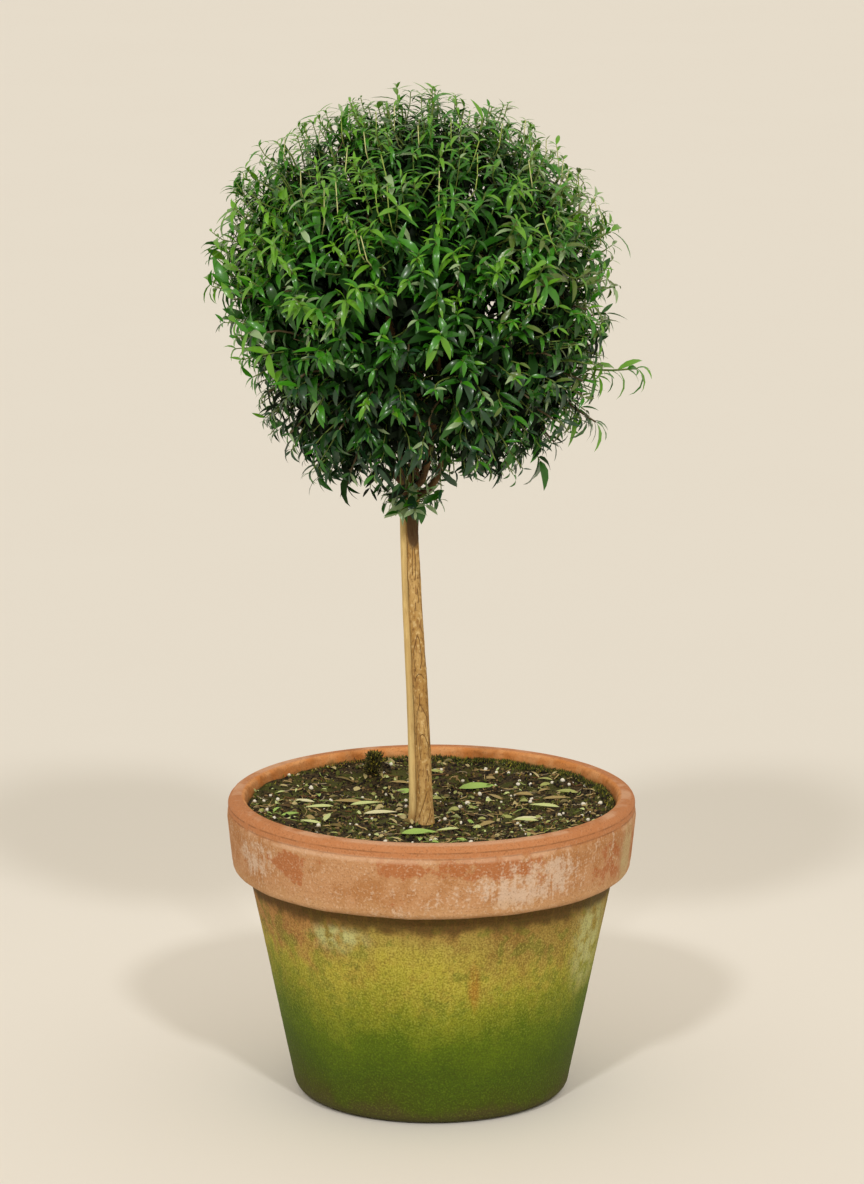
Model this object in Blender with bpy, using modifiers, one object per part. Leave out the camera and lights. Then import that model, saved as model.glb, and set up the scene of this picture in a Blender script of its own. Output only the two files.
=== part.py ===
"""Standard lollipop topiary: a round clipped head of leaves on a bare stem, growing in a clay pot.

Metres, +Z up, -Y is the front. The origin is the centre of the pot's flat underside.
"""

import math
import random
from collections import namedtuple

import bmesh
import bpy
from mathutils import Matrix, Vector, noise

CLEARANCE = 0.0003  # between pieces that touch
MERGE = 1e-7

# Clay pot: a tapering wall under a tall rolled band
POT_HEIGHT = 0.2231
RIM_RADIUS = 0.150
RIM_WIDEST_HEIGHT = 0.208
LIP_RADIUS = 0.1493
LIP_ROUNDING = 0.006
BAND_FOOT_RADIUS = 0.1455
BAND_FOOT_HEIGHT = 0.1665
BAND_ROUNDING = 0.0075
WALL_TOP_RADIUS = 0.1343
WALL_ROUNDING = 0.002
FOOT_RADIUS = 0.100
FOOT_ROUNDING = 0.010
BORE_LIP_RADIUS = 0.1375
BORE_LIP_ROUNDING = 0.004
BORE_FLOOR_RADIUS = 0.0885
BORE_FLOOR_HEIGHT = 0.014
BORE_FLOOR_ROUNDING = 0.012
POT_STEPS = 48
DRAIN_RADIUS = 0.007
DRAIN_CIRCLE_RADIUS = 0.045
DRAIN_COUNT = 3
DRAIN_STEPS = 16

# Potting soil: a shallow dish that is flat where the stems stand
SOIL_STEPS = 24
SOIL_WALL_HEIGHT = 0.2145
SOIL_STEM_HEIGHT = 0.2080
SOIL_FLAT_RADIUS = 0.048
SOIL_RINGS = 6
SOIL_RELIEF = 0.0022
SOIL_LUMP_SIZE = 0.022

# Stems
TRUNK_LINE = (
    (-0.0050, -0.0300, SOIL_STEM_HEIGHT + CLEARANCE),
    (-0.0050, -0.0290, 0.2250),
    (-0.0078, -0.0215, 0.3000),
    (-0.0122, -0.0115, 0.3800),
    (-0.0138, -0.0055, 0.4400),
    (-0.0110, -0.0030, 0.5000),
)
TRUNK_POINTS = 16
TRUNK_SEARCH_POINTS = 128
TRUNK_DETAIL = 4
TRUNK_FOOT_RADIUS = 0.0060
TRUNK_TIP_RADIUS = 0.0037
ROOT_FLARE = 0.0024
FLARE_HEIGHT = 0.007
FOOT_STRAIGHT = 0.0025
FORK_SWELL = 0.0008
FORK_HEIGHT = 0.446
FORK_LENGTH = 0.016
SIDE_STEM_TOP = 0.442
SIDE_STEM_STEPS = 12
SIDE_STEM_DETAIL = 2
SIDE_STEM_FOOT_RADIUS = 0.0029
SIDE_STEM_TOP_RADIUS = 0.0024
SIDE_STEM_AZIMUTH = math.radians(160)

# Head: a near sphere of reach HEAD_REACH about HEAD_CENTRE, with shallow lobes
HEAD_CENTRE = Vector((-0.0075, -0.0040, 0.5960))
HEAD_REACH = 0.1500
# direction from the centre, extra reach, half width in radians
HEAD_LOBES = (
    (Vector((-0.98, 0.00, 0.17)), 0.011, 0.36),
    (Vector((-0.80, 0.05, 0.60)), 0.005, 0.36),
    (Vector((-0.46, -0.10, -0.88)), 0.012, 0.40),
    (Vector((0.48, -0.15, -0.86)), 0.012, 0.40),
    (Vector((0.96, 0.20, 0.15)), 0.005, 0.30),
    (Vector((-0.20, -0.95, 0.20)), 0.005, 0.36),
    (Vector((0.50, 0.80, 0.30)), 0.010, 0.36),
    (Vector((-0.50, 0.82, -0.20)), 0.007, 0.36),
    (Vector((0.10, 0.75, -0.65)), 0.010, 0.40),
)
CORE_SHARE = 0.76
CORE_DETAIL = 2
# Long shoots: direction from the centre and share of the reach that they grow to
SHOOTS = (
    (Vector((0.93, -0.05, -0.36)), 1.23),
    (Vector((-0.97, 0.05, 0.20)), 1.07),
    (Vector((0.45, 0.75, 0.48)), 1.08),
    (Vector((-0.30, 0.92, -0.15)), 1.07),
    (Vector((0.20, -0.93, -0.30)), 1.06),
)

# Masses of foliage: each keeps to the points nearer its own site than any other's.
# The void sites belong to no mass, so the boughs run free up the middle of the head.
# ring name, number of boughs, first azimuth, its sites' rise from the head's centre,
# height where its boughs leave the trunk, their rise there
BOUGH_RINGS = (
    ("lower", 6, math.radians(240), math.radians(-32), 0.4480, math.radians(15)),
    ("upper", 5, math.radians(270), math.radians(22), 0.4850, math.radians(62)),
)
SITE_REACH = 0.100
VOID_HEIGHTS = (-0.076, -0.020)
RING_STAGGER = 0.007
BOUGH_RADIUS = 0.0027
BOUGH_TIP_RADIUS = 0.0019
TOP_BOUGH_RADIUS = 0.0035
BOUGH_POINTS = 6
BOUGH_DETAIL = 1
BOUGH_BEND = 0.35
BOUGH_SHARE = 0.47  # of the way from the void's site to the mass's

# Twigs and leaves
TWIG_COUNT = 118
TWIG_ROOT_RADIUS = 0.0019
TWIG_TIP_RADIUS = 0.0013
TWIG_ROOT_REACH = 0.099  # inside the core
TWIG_TIP_SHARES = (0.81, 0.90)
TWIG_LIFT = 0.06
TWIG_JITTER = 0.018
LEAF_LENGTH = 0.038
LEAF_WIDTH = 0.0125
LEAF_THICKNESS = 0.0012
LEAF_WIDEST = 0.42  # of its length
LEAF_DROOP = 0.14
LEAF_SPREAD = math.radians(58)
LEAF_SPREAD_STEP = 0.04  # wider at each try
LEAF_JITTER = 0.25
LEAF_TILT = 0.1
LEAF_PAIR_PLACES = (0.62, 0.96)
LEAF_TEST_PLACES = (0.3, 0.7)  # along its edges
LEAF_GAP = 0.0085
CELL_MARGIN = 0.0006
LIMB_MARGIN = 0.0012
FIT_TRIES = 9
SEED = 27

# Tufts of leaves on the trunk just under the head
TUFT_HEIGHT = 0.4380
TUFT_SPACE = 0.050
TUFT_SPACE_RISE = 0.015
TUFT_FLOOR = 0.4300
TUFT_STEM_LENGTH = 0.011
TUFT_STEM_RISE = math.radians(34)
TUFT_TWIG_LENGTH = 0.019
TUFT_TWIG_PLACES = (0.50, 0.58, 0.66, 0.74, 0.82, 0.90)
TUFT_TWIGS = ((-84, 24), (-54, 48), (-6, 58), (6, 16), (52, 46), (86, 22))  # turn and rise in degrees
TUFTS = (("front", math.radians(270)), ("back", math.radians(90)))

Bough = namedtuple("Bough", "name line radius site")
limb_samples = []


def clear_scene():
    for item in list(bpy.data.objects):
        bpy.data.objects.remove(item)


def new_collection(name):
    collection = bpy.data.collections.new(name)
    bpy.context.scene.collection.children.link(collection)
    return collection


def new_material(name, colour, roughness):
    material = bpy.data.materials.new(name)
    material.use_nodes = True
    shader = material.node_tree.nodes["Principled BSDF"]
    shader.inputs["Base Color"].default_value = (*colour, 1.0)
    shader.inputs["Roughness"].default_value = roughness
    shader.inputs["Metallic"].default_value = 0.0
    return material


def add_object(name, data, collection, material=None):
    item = bpy.data.objects.new(name, data)
    collection.objects.link(item)
    if material:
        data.materials.clear()
        data.materials.append(material)
    return item


def mesh_from(bm, name):
    bmesh.ops.recalc_face_normals(bm, faces=bm.faces)
    mesh = bpy.data.meshes.new(name)
    bm.to_mesh(mesh)
    bm.free()
    return mesh


def evaluated_mesh(item):
    depsgraph = bpy.context.evaluated_depsgraph_get()
    return bpy.data.meshes.new_from_object(item.evaluated_get(depsgraph))


def shade_round(mesh):
    mesh.shade_smooth()
    mesh.set_sharp_from_angle(angle=math.radians(40))


# Turned pieces


def rounded(corners, segments=2):
    """Profile through (radius, height, rounding) corners, with an arc at each rounded one."""
    profile = []
    for index, (radius, height, rounding) in enumerate(corners):
        corner = Vector((radius, height))
        if rounding == 0:
            profile.append(corner)
            continue
        before = (Vector(corners[index - 1][:2]) - corner).normalized()
        after = (Vector(corners[index + 1][:2]) - corner).normalized()
        half_angle = before.angle(after) / 2
        centre = corner + (before + after).normalized() * rounding / math.sin(half_angle)
        first = corner + before * rounding / math.tan(half_angle) - centre
        last = corner + after * rounding / math.tan(half_angle) - centre
        for step in range(segments + 1):
            spoke = first.lerp(last, step / segments).normalized()
            profile.append(centre + spoke * rounding)
    return profile


def turned(name, profile, steps, collection, material):
    mesh = bpy.data.meshes.new(name)
    points = [(radius, 0.0, height) for radius, height in profile]
    edges = [(index, index + 1) for index in range(len(points) - 1)]
    mesh.from_pydata(points, edges, [])
    item = add_object(name, mesh, collection, material)
    screw = item.modifiers.new("turn", "SCREW")
    screw.steps = steps
    screw.render_steps = steps
    screw.use_merge_vertices = True
    screw.merge_threshold = 0.00001
    return item


def make_pot(collection, cutters, material):
    corners = (
        (0.0, BORE_FLOOR_HEIGHT, 0),
        (BORE_FLOOR_RADIUS, BORE_FLOOR_HEIGHT, BORE_FLOOR_ROUNDING),
        (BORE_LIP_RADIUS, POT_HEIGHT, BORE_LIP_ROUNDING),
        (LIP_RADIUS, POT_HEIGHT, LIP_ROUNDING),
        (RIM_RADIUS, RIM_WIDEST_HEIGHT, 0),
        (BAND_FOOT_RADIUS, BAND_FOOT_HEIGHT, BAND_ROUNDING),
        (WALL_TOP_RADIUS, BAND_FOOT_HEIGHT, WALL_ROUNDING),
        (FOOT_RADIUS, 0.0, FOOT_ROUNDING),
        (0.0, 0.0, 0),
    )
    pot = turned("pot", rounded(corners), POT_STEPS, collection, material)
    for index in range(DRAIN_COUNT):
        azimuth = math.tau * index / DRAIN_COUNT
        bm = bmesh.new()
        bmesh.ops.create_cone(
            bm, cap_ends=True, segments=DRAIN_STEPS, radius1=DRAIN_RADIUS, radius2=DRAIN_RADIUS,
            depth=BORE_FLOOR_HEIGHT * 3,
        )
        cutter = add_object(f"drain_cutter_{index + 1}", mesh_from(bm, "drain"), cutters)
        cutter.location = (
            DRAIN_CIRCLE_RADIUS * math.cos(azimuth), DRAIN_CIRCLE_RADIUS * math.sin(azimuth), 0.0,
        )
        cutter.hide_render = True
        cutter.display_type = "WIRE"
        drain = pot.modifiers.new("drain", "BOOLEAN")
        drain.operation = "DIFFERENCE"
        drain.solver = "EXACT"
        drain.object = cutter
    shade_round(pot.data)
    return pot


def bore_radius(height):
    share = (height - BORE_FLOOR_HEIGHT) / (POT_HEIGHT - BORE_FLOOR_HEIGHT)
    return BORE_FLOOR_RADIUS + (BORE_LIP_RADIUS - BORE_FLOOR_RADIUS) * share


def soil_rise(radius):
    """0 on the flat round the stems, 1 at the pot's wall."""
    share = (radius - SOIL_FLAT_RADIUS) / (bore_radius(SOIL_WALL_HEIGHT) - SOIL_FLAT_RADIUS)
    share = min(max(share, 0.0), 1.0)
    return share * share * (3 - 2 * share)


def make_soil(collection, material):
    side_slope = (BORE_LIP_RADIUS - BORE_FLOOR_RADIUS) / (POT_HEIGHT - BORE_FLOOR_HEIGHT)
    side_gap = CLEARANCE * math.hypot(1, side_slope)
    edge_radius = bore_radius(SOIL_WALL_HEIGHT) - side_gap
    bottom = BORE_FLOOR_HEIGHT + CLEARANCE
    profile = [Vector((0.0, SOIL_STEM_HEIGHT))]
    for ring in range(SOIL_RINGS):
        radius = SOIL_FLAT_RADIUS + (edge_radius - SOIL_FLAT_RADIUS) * ring / (SOIL_RINGS - 1)
        height = SOIL_STEM_HEIGHT + (SOIL_WALL_HEIGHT - SOIL_STEM_HEIGHT) * soil_rise(radius)
        profile.append(Vector((radius, height)))
    corners = (
        (edge_radius, SOIL_WALL_HEIGHT, 0),
        (bore_radius(bottom) - side_gap, bottom, BORE_FLOOR_ROUNDING - CLEARANCE),
        (0.0, bottom, 0),
    )
    profile += rounded(corners)[1:]
    soil = turned("soil", profile, SOIL_STEPS, collection, material)
    mesh = evaluated_mesh(soil)
    for vertex in mesh.vertices:
        radius = math.hypot(vertex.co.x, vertex.co.y)
        if vertex.co.z > SOIL_STEM_HEIGHT - CLEARANCE and radius < edge_radius - CLEARANCE:
            lump = noise.noise(vertex.co / SOIL_LUMP_SIZE)
            vertex.co.z += SOIL_RELIEF * lump * soil_rise(radius)
    soil.modifiers.clear()
    soil.data = mesh
    return soil


# Limbs


def smooth_line(controls, count):
    """Points along a Catmull-Rom curve through the controls."""
    points = [Vector(control) for control in controls]
    points = [points[0] * 2 - points[1], *points, points[-1] * 2 - points[-2]]
    spans = len(controls) - 1
    line = []
    for step in range(count):
        place = spans * step / (count - 1)
        span = min(int(place), spans - 1)
        t = place - span
        a, b, c, d = points[span:span + 4]
        line.append(
            (b * 2 + (c - a) * t + (a * 2 - b * 5 + c * 4 - d) * t**2 + (b * 3 - a - c * 3 + d) * t**3) / 2
        )
    return line


def limb(name, line, radii, resolution, collection, material):
    """Tapering tube along the line, its ends cut square."""
    curve = bpy.data.curves.new(name, "CURVE")
    curve.dimensions = "3D"
    curve.bevel_depth = 1.0
    curve.bevel_resolution = resolution
    curve.use_fill_caps = True
    spline = curve.splines.new("POLY")
    spline.points.add(len(line) - 1)
    for point, place, radius in zip(spline.points, line, radii):
        point.co = (*place, 1.0)
        point.radius = radius
    spline.use_smooth = True
    limb_samples.extend(zip(line[:-1], line[1:], radii[:-1]))
    return add_object(name, curve, collection, material)


def trunk_radius(height):
    foot = TRUNK_LINE[0][2]
    share = (height - foot) / (TRUNK_LINE[-1][2] - foot)
    taper = TRUNK_FOOT_RADIUS + (TRUNK_TIP_RADIUS - TRUNK_FOOT_RADIUS) * share
    flare = ROOT_FLARE * math.exp((foot - height) / FLARE_HEIGHT)
    swell = FORK_SWELL * math.exp(-(((height - FORK_HEIGHT) / FORK_LENGTH) ** 2))
    return taper + flare + swell


def trunk_at(height):
    line = smooth_line(TRUNK_LINE, TRUNK_SEARCH_POINTS)
    return min(line, key=lambda point: abs(point.z - height))


def heading(azimuth, rise=0.0):
    return Vector((math.cos(azimuth) * math.cos(rise), math.sin(azimuth) * math.cos(rise), math.sin(rise)))


def make_trunk(collection, material):
    line = smooth_line(TRUNK_LINE, TRUNK_POINTS)
    line.insert(1, line[0] + Vector((0, 0, FOOT_STRAIGHT)))
    radii = [trunk_radius(point.z) for point in line]
    return limb("trunk", line, radii, TRUNK_DETAIL, collection, material)


def make_side_stem(collection, material):
    """Second, slimmer stem, grown tight against the first one all the way up."""
    foot = TRUNK_LINE[0][2]
    line = []
    radii = []
    for step in range(SIDE_STEM_STEPS + 1):
        share = step / SIDE_STEM_STEPS
        height = foot + (SIDE_STEM_TOP - foot) * share
        radius = SIDE_STEM_FOOT_RADIUS + (SIDE_STEM_TOP_RADIUS - SIDE_STEM_FOOT_RADIUS) * share
        gap = trunk_radius(height) + radius + CLEARANCE * 2
        point = trunk_at(height) + heading(SIDE_STEM_AZIMUTH) * gap
        line.append(Vector((point.x, point.y, height)))
        radii.append(radius)
    line[1].xy = line[0].xy
    return limb("side_stem", line, radii, SIDE_STEM_DETAIL, collection, material)


def bough_line(start, first_heading, tip, last_heading):
    """Curve that leaves along one heading and arrives along another."""
    span = (tip - start).length
    first = start + first_heading * span * BOUGH_BEND
    last = tip - last_heading * span * BOUGH_BEND
    line = []
    for step in range(BOUGH_POINTS):
        t = step / (BOUGH_POINTS - 1)
        s = 1 - t
        line.append(start * s**3 + first * 3 * s**2 * t + last * 3 * s * t**2 + tip * t**3)
    return line


def plan_bough(name, start, first_heading, radius, void, site):
    """Bough that runs up the void and ends on the way from the void's site to its own mass's."""
    aim = (site - void).normalized()
    return Bough(name, bough_line(start, first_heading, void.lerp(site, BOUGH_SHARE), aim), radius, site)


def plan_boughs(voids):
    """Every bough and its mass's site, the rings first and the leader last."""
    boughs = []
    for (ring, count, first_azimuth, site_rise, height, rise), void in zip(BOUGH_RINGS, voids):
        for index in range(count):
            azimuth = first_azimuth + math.tau * index / count
            level = height + RING_STAGGER * (index % 2)
            gap = trunk_radius(level) + BOUGH_RADIUS * math.sin(rise) + CLEARANCE * 2
            start = trunk_at(level) + heading(azimuth) * gap
            site = HEAD_CENTRE + heading(azimuth, site_rise) * SITE_REACH
            name = f"{ring}_{index + 1}"
            boughs.append(plan_bough(name, start, heading(azimuth, rise), BOUGH_RADIUS, void, site))
    line = smooth_line(TRUNK_LINE, TRUNK_POINTS)
    up = (line[-1] - line[-2]).normalized()
    start = line[-1] + up * CLEARANCE * 2
    site = HEAD_CENTRE + Vector((0, 0, SITE_REACH))
    boughs.append(plan_bough("top", start, up, TOP_BOUGH_RADIUS, voids[-1], site))
    return boughs


def make_bough(bough, collection, material):
    last = len(bough.line) - 1
    radii = [bough.radius + (BOUGH_TIP_RADIUS - bough.radius) * step / last for step in range(last + 1)]
    return limb(f"bough_{bough.name}", bough.line, radii, BOUGH_DETAIL, collection, material)


# Foliage


def head_reach(aim):
    """How far the leaves reach from the head's centre along a unit vector."""
    reach = HEAD_REACH
    for lobe, extra, width in HEAD_LOBES:
        reach += extra * math.exp(-((aim.angle(lobe) / width) ** 2))
    return reach


def cell_planes(site, sites):
    """Point and inward normal of each plane between one site and the others."""
    planes = []
    for other in sites:
        if other is not site:
            normal = (site - other).normalized()
            planes.append(((site + other) / 2 + normal * CELL_MARGIN, normal))
    return planes


def in_cell(points, planes, margin=0.0):
    return all((point - place).dot(normal) > margin for point in points for place, normal in planes)


def in_shell(points, stretch):
    """Whether the points lie between the core's surface and the head's reach, stretched for a shoot."""
    for point in points:
        offset = point - HEAD_CENTRE
        share = offset.length / head_reach(offset.normalized())
        if not CORE_SHARE < share < stretch:
            return False
    return True


def clear_of_limbs(points, girth=0.0):
    for start, end, radius in limb_samples:
        along = end - start
        for point in points:
            share = min(max((point - start).dot(along) / along.length_squared, 0.0), 1.0)
            if (point - start - along * share).length < radius + girth + LIMB_MARGIN:
                return False
    return True


def aligned(origin, along, up):
    """Matrix that sets +X along one vector and +Z near another."""
    x = along.normalized()
    y = up.cross(x).normalized()
    z = x.cross(y)
    return Matrix.Translation(origin) @ Matrix((x, y, z)).transposed().to_4x4()


def leaf_mesh():
    """Lance-shaped blade, flat below and ridged above, from its root at the origin along +X."""
    middle = LEAF_LENGTH * LEAF_WIDEST
    bm = bmesh.new()
    root = bm.verts.new((0, 0, 0))
    tip = bm.verts.new((LEAF_LENGTH, 0, -LEAF_LENGTH * LEAF_DROOP))
    rim = [
        bm.verts.new((middle, LEAF_WIDTH / 2, 0)),
        bm.verts.new((middle, 0, LEAF_THICKNESS)),
        bm.verts.new((middle, -LEAF_WIDTH / 2, 0)),
    ]
    for index, corner in enumerate(rim):
        following = rim[(index + 1) % len(rim)]
        bm.faces.new((root, corner, following))
        bm.faces.new((tip, following, corner))
    return mesh_from(bm, "leaf")


def twig_object(start, end, root_radius, tip_radius, collection):
    """Straight three-sided twig."""
    bm = bmesh.new()
    length = (end - start).length
    bmesh.ops.create_cone(
        bm, cap_ends=True, segments=3, radius1=root_radius, radius2=tip_radius, depth=length
    )
    bmesh.ops.translate(bm, verts=bm.verts, vec=(0, 0, length / 2))
    twig = add_object("twig", mesh_from(bm, "twig"), collection)
    turn = (end - start).to_track_quat("Z", "Y").to_matrix()
    twig.matrix_world = Matrix.Translation(start) @ turn.to_4x4()
    return twig


def add_leaf(leaf, origin, along, up, fits, collection):
    """Add a leaf where it fits, clears the limbs and keeps LEAF_GAP from the others' middles and tips."""
    matrix = aligned(origin, along, up)
    corners = [matrix @ vertex.co for vertex in leaf.vertices]
    edges = [[corners[index] for index in edge.vertices] for edge in leaf.edges]
    rims = [start.lerp(end, share) for start, end in edges for share in LEAF_TEST_PLACES]
    others = [item.matrix_world @ leaf.vertices[index].co
              for item in collection.objects if item.data == leaf for index in (1, 3)]
    crowded = any((corners[index] - other).length < LEAF_GAP for index in (1, 3) for other in others)
    if crowded or not fits(corners[1:]) or not clear_of_limbs(corners[1:] + rims):
        return False
    item = add_object("leaf", leaf, collection)
    item.matrix_world = matrix
    return True


def add_leaf_pairs(leaf, start, end, fits, rng, collection):
    """Opposite pairs of leaves along a twig, each pair turned across the last, and one at its end."""
    axis = (end - start).normalized()
    side = axis.orthogonal().normalized()
    turn = rng.uniform(0, math.tau)
    for place in LEAF_PAIR_PLACES:
        for half in (0, math.pi):
            for trial in range(FIT_TRIES):
                jitter = rng.uniform(-LEAF_JITTER, LEAF_JITTER) * (trial + 1)
                out = Matrix.Rotation(turn + half + jitter, 3, axis) @ side
                spread = LEAF_SPREAD + rng.uniform(-LEAF_JITTER, LEAF_JITTER) + trial * LEAF_SPREAD_STEP
                along = axis * math.cos(spread) + out * math.sin(spread)
                up = axis + out * LEAF_TILT
                if add_leaf(leaf, start.lerp(end, place), along, up, fits, collection):
                    break
        turn += math.pi / 2
    add_leaf(leaf, end - axis * TWIG_TIP_RADIUS * 2, axis, side, fits, collection)


def twig_aims():
    """Direction and stretch of every twig: spread evenly in a spiral over a sphere, then the shoots."""
    golden = math.pi * (3 - math.sqrt(5))
    aims = []
    for index in range(TWIG_COUNT):
        height = 1 - 2 * (index + 0.5) / TWIG_COUNT
        aims.append((heading(golden * index, math.asin(height)), 1.0))
    return [*aims, *SHOOTS]


def core_mesh(planes):
    """The mass's dense inside: its cell within a smaller copy of the head."""
    bm = bmesh.new()
    bmesh.ops.create_icosphere(bm, subdivisions=CORE_DETAIL, radius=1.0)
    for vertex in bm.verts:
        vertex.co = HEAD_CENTRE + vertex.co * head_reach(vertex.co.normalized()) * CORE_SHARE
    for place, normal in planes:
        geometry = bm.verts[:] + bm.edges[:] + bm.faces[:]
        cut = bmesh.ops.bisect_plane(
            bm, geom=geometry, dist=MERGE, plane_co=place, plane_no=normal, clear_inner=True
        )
        edges = [item for item in cut["geom_cut"] if isinstance(item, bmesh.types.BMEdge)]
        if edges:
            bmesh.ops.contextual_create(bm, geom=edges)
    return mesh_from(bm, "core")


def fuse(core, collection):
    """Join the collection's pieces onto the core, keeping only its largest body."""
    union = core.modifiers.new("fuse", "BOOLEAN")
    union.operation = "UNION"
    union.operand_type = "COLLECTION"
    union.collection = collection
    union.solver = "MANIFOLD"
    mesh = evaluated_mesh(core)
    core.modifiers.clear()
    material = core.data.materials[0]
    core.data = mesh
    mesh.materials.clear()
    mesh.materials.append(material)
    for item in list(collection.objects):
        bpy.data.objects.remove(item)
    bpy.data.collections.remove(collection)
    keep_largest(mesh)


def keep_largest(mesh):
    bm = bmesh.new()
    bm.from_mesh(mesh)
    bm.verts.ensure_lookup_table()
    unseen = set(bm.verts)
    bodies = []
    while unseen:
        body = set()
        front = [unseen.pop()]
        while front:
            vertex = front.pop()
            body.add(vertex)
            for edge in vertex.link_edges:
                other = edge.other_vert(vertex)
                if other in unseen:
                    unseen.remove(other)
                    front.append(other)
        bodies.append(body)
    bodies.sort(key=len)
    for body in bodies[:-1]:
        bmesh.ops.delete(bm, geom=list(body), context="VERTS")
    bm.to_mesh(mesh)
    bm.free()


def make_mass(bough, sites, leaf, collection, material, rng):
    planes = cell_planes(bough.site, sites)
    core = add_object(f"foliage_{bough.name}", core_mesh(planes), collection, material)
    pieces = new_collection("pieces")
    tip = bough.line[-1]
    stem_start = tip + (bough.site - tip).normalized() * CLEARANCE * 2
    twig_object(stem_start, bough.site, BOUGH_TIP_RADIUS, BOUGH_TIP_RADIUS, pieces)
    for out, stretch in twig_aims():

        def fits(points, stretch=stretch):
            return in_cell(points, planes) and in_shell(points, stretch)

        for trial in range(FIT_TRIES):
            jitter = Vector([rng.gauss(0, TWIG_JITTER * trial) for _ in range(3)])
            way = (out + jitter).normalized()
            root = HEAD_CENTRE + way * TWIG_ROOT_REACH
            lifted = (way + Vector((0, 0, TWIG_LIFT))).normalized()
            reach = head_reach(way) * rng.uniform(*TWIG_TIP_SHARES)
            if stretch > 1:
                reach = head_reach(way) * stretch - LEAF_LENGTH
            end = root + lifted * (reach - TWIG_ROOT_REACH)
            inside = in_cell([root, end], planes, TWIG_ROOT_RADIUS)
            if inside and clear_of_limbs([root, end], TWIG_ROOT_RADIUS):
                twig_object(root, end, TWIG_ROOT_RADIUS, TWIG_TIP_RADIUS, pieces)
                add_leaf_pairs(leaf, root, end, fits, rng, pieces)
                break
    fuse(core, pieces)


def make_tuft(name, azimuth, void, sites, leaf, collection, material, rng):
    """Side shoot on one half of the space that the masses leave round the trunk under the head."""
    middle = trunk_at(TUFT_HEIGHT)
    out = heading(azimuth)
    top = middle + Vector((0, 0, TUFT_SPACE_RISE))
    floor = (Vector((0, 0, TUFT_FLOOR)), Vector((0, 0, 1)))
    planes = [*cell_planes(void, sites), (middle + out * CELL_MARGIN, out), floor]

    def fits(points):
        near = all((point - top).length < TUFT_SPACE for point in points)
        return near and in_cell(points, planes)

    gap = trunk_radius(TUFT_HEIGHT) + TWIG_ROOT_RADIUS * math.sin(TUFT_STEM_RISE) + CLEARANCE * 2
    start = middle + out * gap
    end = start + heading(azimuth, TUFT_STEM_RISE) * TUFT_STEM_LENGTH
    pieces = new_collection("pieces")
    stem = twig_object(start, end, TWIG_ROOT_RADIUS, TWIG_ROOT_RADIUS, collection)
    stem.name = f"foliage_tuft_{name}"
    stem.data.materials.append(material)
    for place, (turn, rise) in zip(TUFT_TWIG_PLACES, TUFT_TWIGS):
        root = start.lerp(end, place)
        way = heading(azimuth + math.radians(turn), math.radians(rise))
        tip = root + way * TUFT_TWIG_LENGTH
        if clear_of_limbs([root.lerp(tip, step / 4) for step in range(5)], TWIG_ROOT_RADIUS):
            twig_object(root, tip, TWIG_ROOT_RADIUS, TWIG_TIP_RADIUS, pieces)
            add_leaf_pairs(leaf, root, tip, fits, rng, pieces)
    fuse(stem, pieces)


def main():
    clear_scene()
    collection = new_collection("lollipop_topiary")
    cutters = new_collection("cutters")
    clay = new_material("clay", (0.42, 0.24, 0.12), 0.85)
    soil = new_material("soil", (0.05, 0.03, 0.02), 0.95)
    bark = new_material("bark", (0.36, 0.24, 0.13), 0.8)
    pale_bark = new_material("pale_bark", (0.50, 0.42, 0.30), 0.7)
    foliage = new_material("foliage", (0.07, 0.14, 0.03), 0.45)
    make_pot(collection, cutters, clay)
    make_soil(collection, soil)
    make_trunk(collection, bark)
    make_side_stem(collection, pale_bark)
    voids = [HEAD_CENTRE + Vector((0, 0, height)) for height in VOID_HEIGHTS]
    boughs = plan_boughs(voids)
    for bough in boughs:
        make_bough(bough, collection, bark)
    sites = [bough.site for bough in boughs] + voids
    leaf = leaf_mesh()
    for index, bough in enumerate(boughs):
        make_mass(bough, sites, leaf, collection, foliage, random.Random(SEED + index))
    for index, (name, azimuth) in enumerate(TUFTS):
        rng = random.Random(SEED + len(boughs) + index)
        make_tuft(name, azimuth, voids[0], sites, leaf, collection, foliage, rng)
    print(len(collection.objects), "objects")


main()
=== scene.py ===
import math
import random

import bmesh
import bpy
import numpy as np
from mathutils import Matrix, Vector, noise


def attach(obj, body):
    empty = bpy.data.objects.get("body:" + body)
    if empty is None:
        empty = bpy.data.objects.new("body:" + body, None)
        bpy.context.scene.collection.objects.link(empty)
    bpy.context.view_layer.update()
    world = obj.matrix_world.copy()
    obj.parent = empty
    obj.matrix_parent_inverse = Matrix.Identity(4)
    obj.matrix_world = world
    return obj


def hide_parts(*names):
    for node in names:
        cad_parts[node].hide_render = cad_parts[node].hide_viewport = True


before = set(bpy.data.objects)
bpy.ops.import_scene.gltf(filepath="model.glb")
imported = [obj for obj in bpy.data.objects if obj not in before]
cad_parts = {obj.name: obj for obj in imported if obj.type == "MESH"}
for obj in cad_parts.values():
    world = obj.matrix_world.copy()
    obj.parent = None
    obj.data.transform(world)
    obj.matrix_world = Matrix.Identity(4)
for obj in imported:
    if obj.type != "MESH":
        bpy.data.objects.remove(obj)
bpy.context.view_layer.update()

print("frame loaded")


# Shader nodes


def linear(red, green, blue):  # from screen levels of 0 to 255
    shares = [level / 255 for level in (red, green, blue)]
    return tuple(s / 12.92 if s <= 0.04045 else ((s + 0.055) / 1.055) ** 2.4 for s in shares)


def operator(operation, reflected=False):
    def apply(self, other):
        first, second = (other, self) if reflected else (self, other)
        return self.finish.node("Math", {"operation": operation}, {0: first, 1: second})
    return apply


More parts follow.
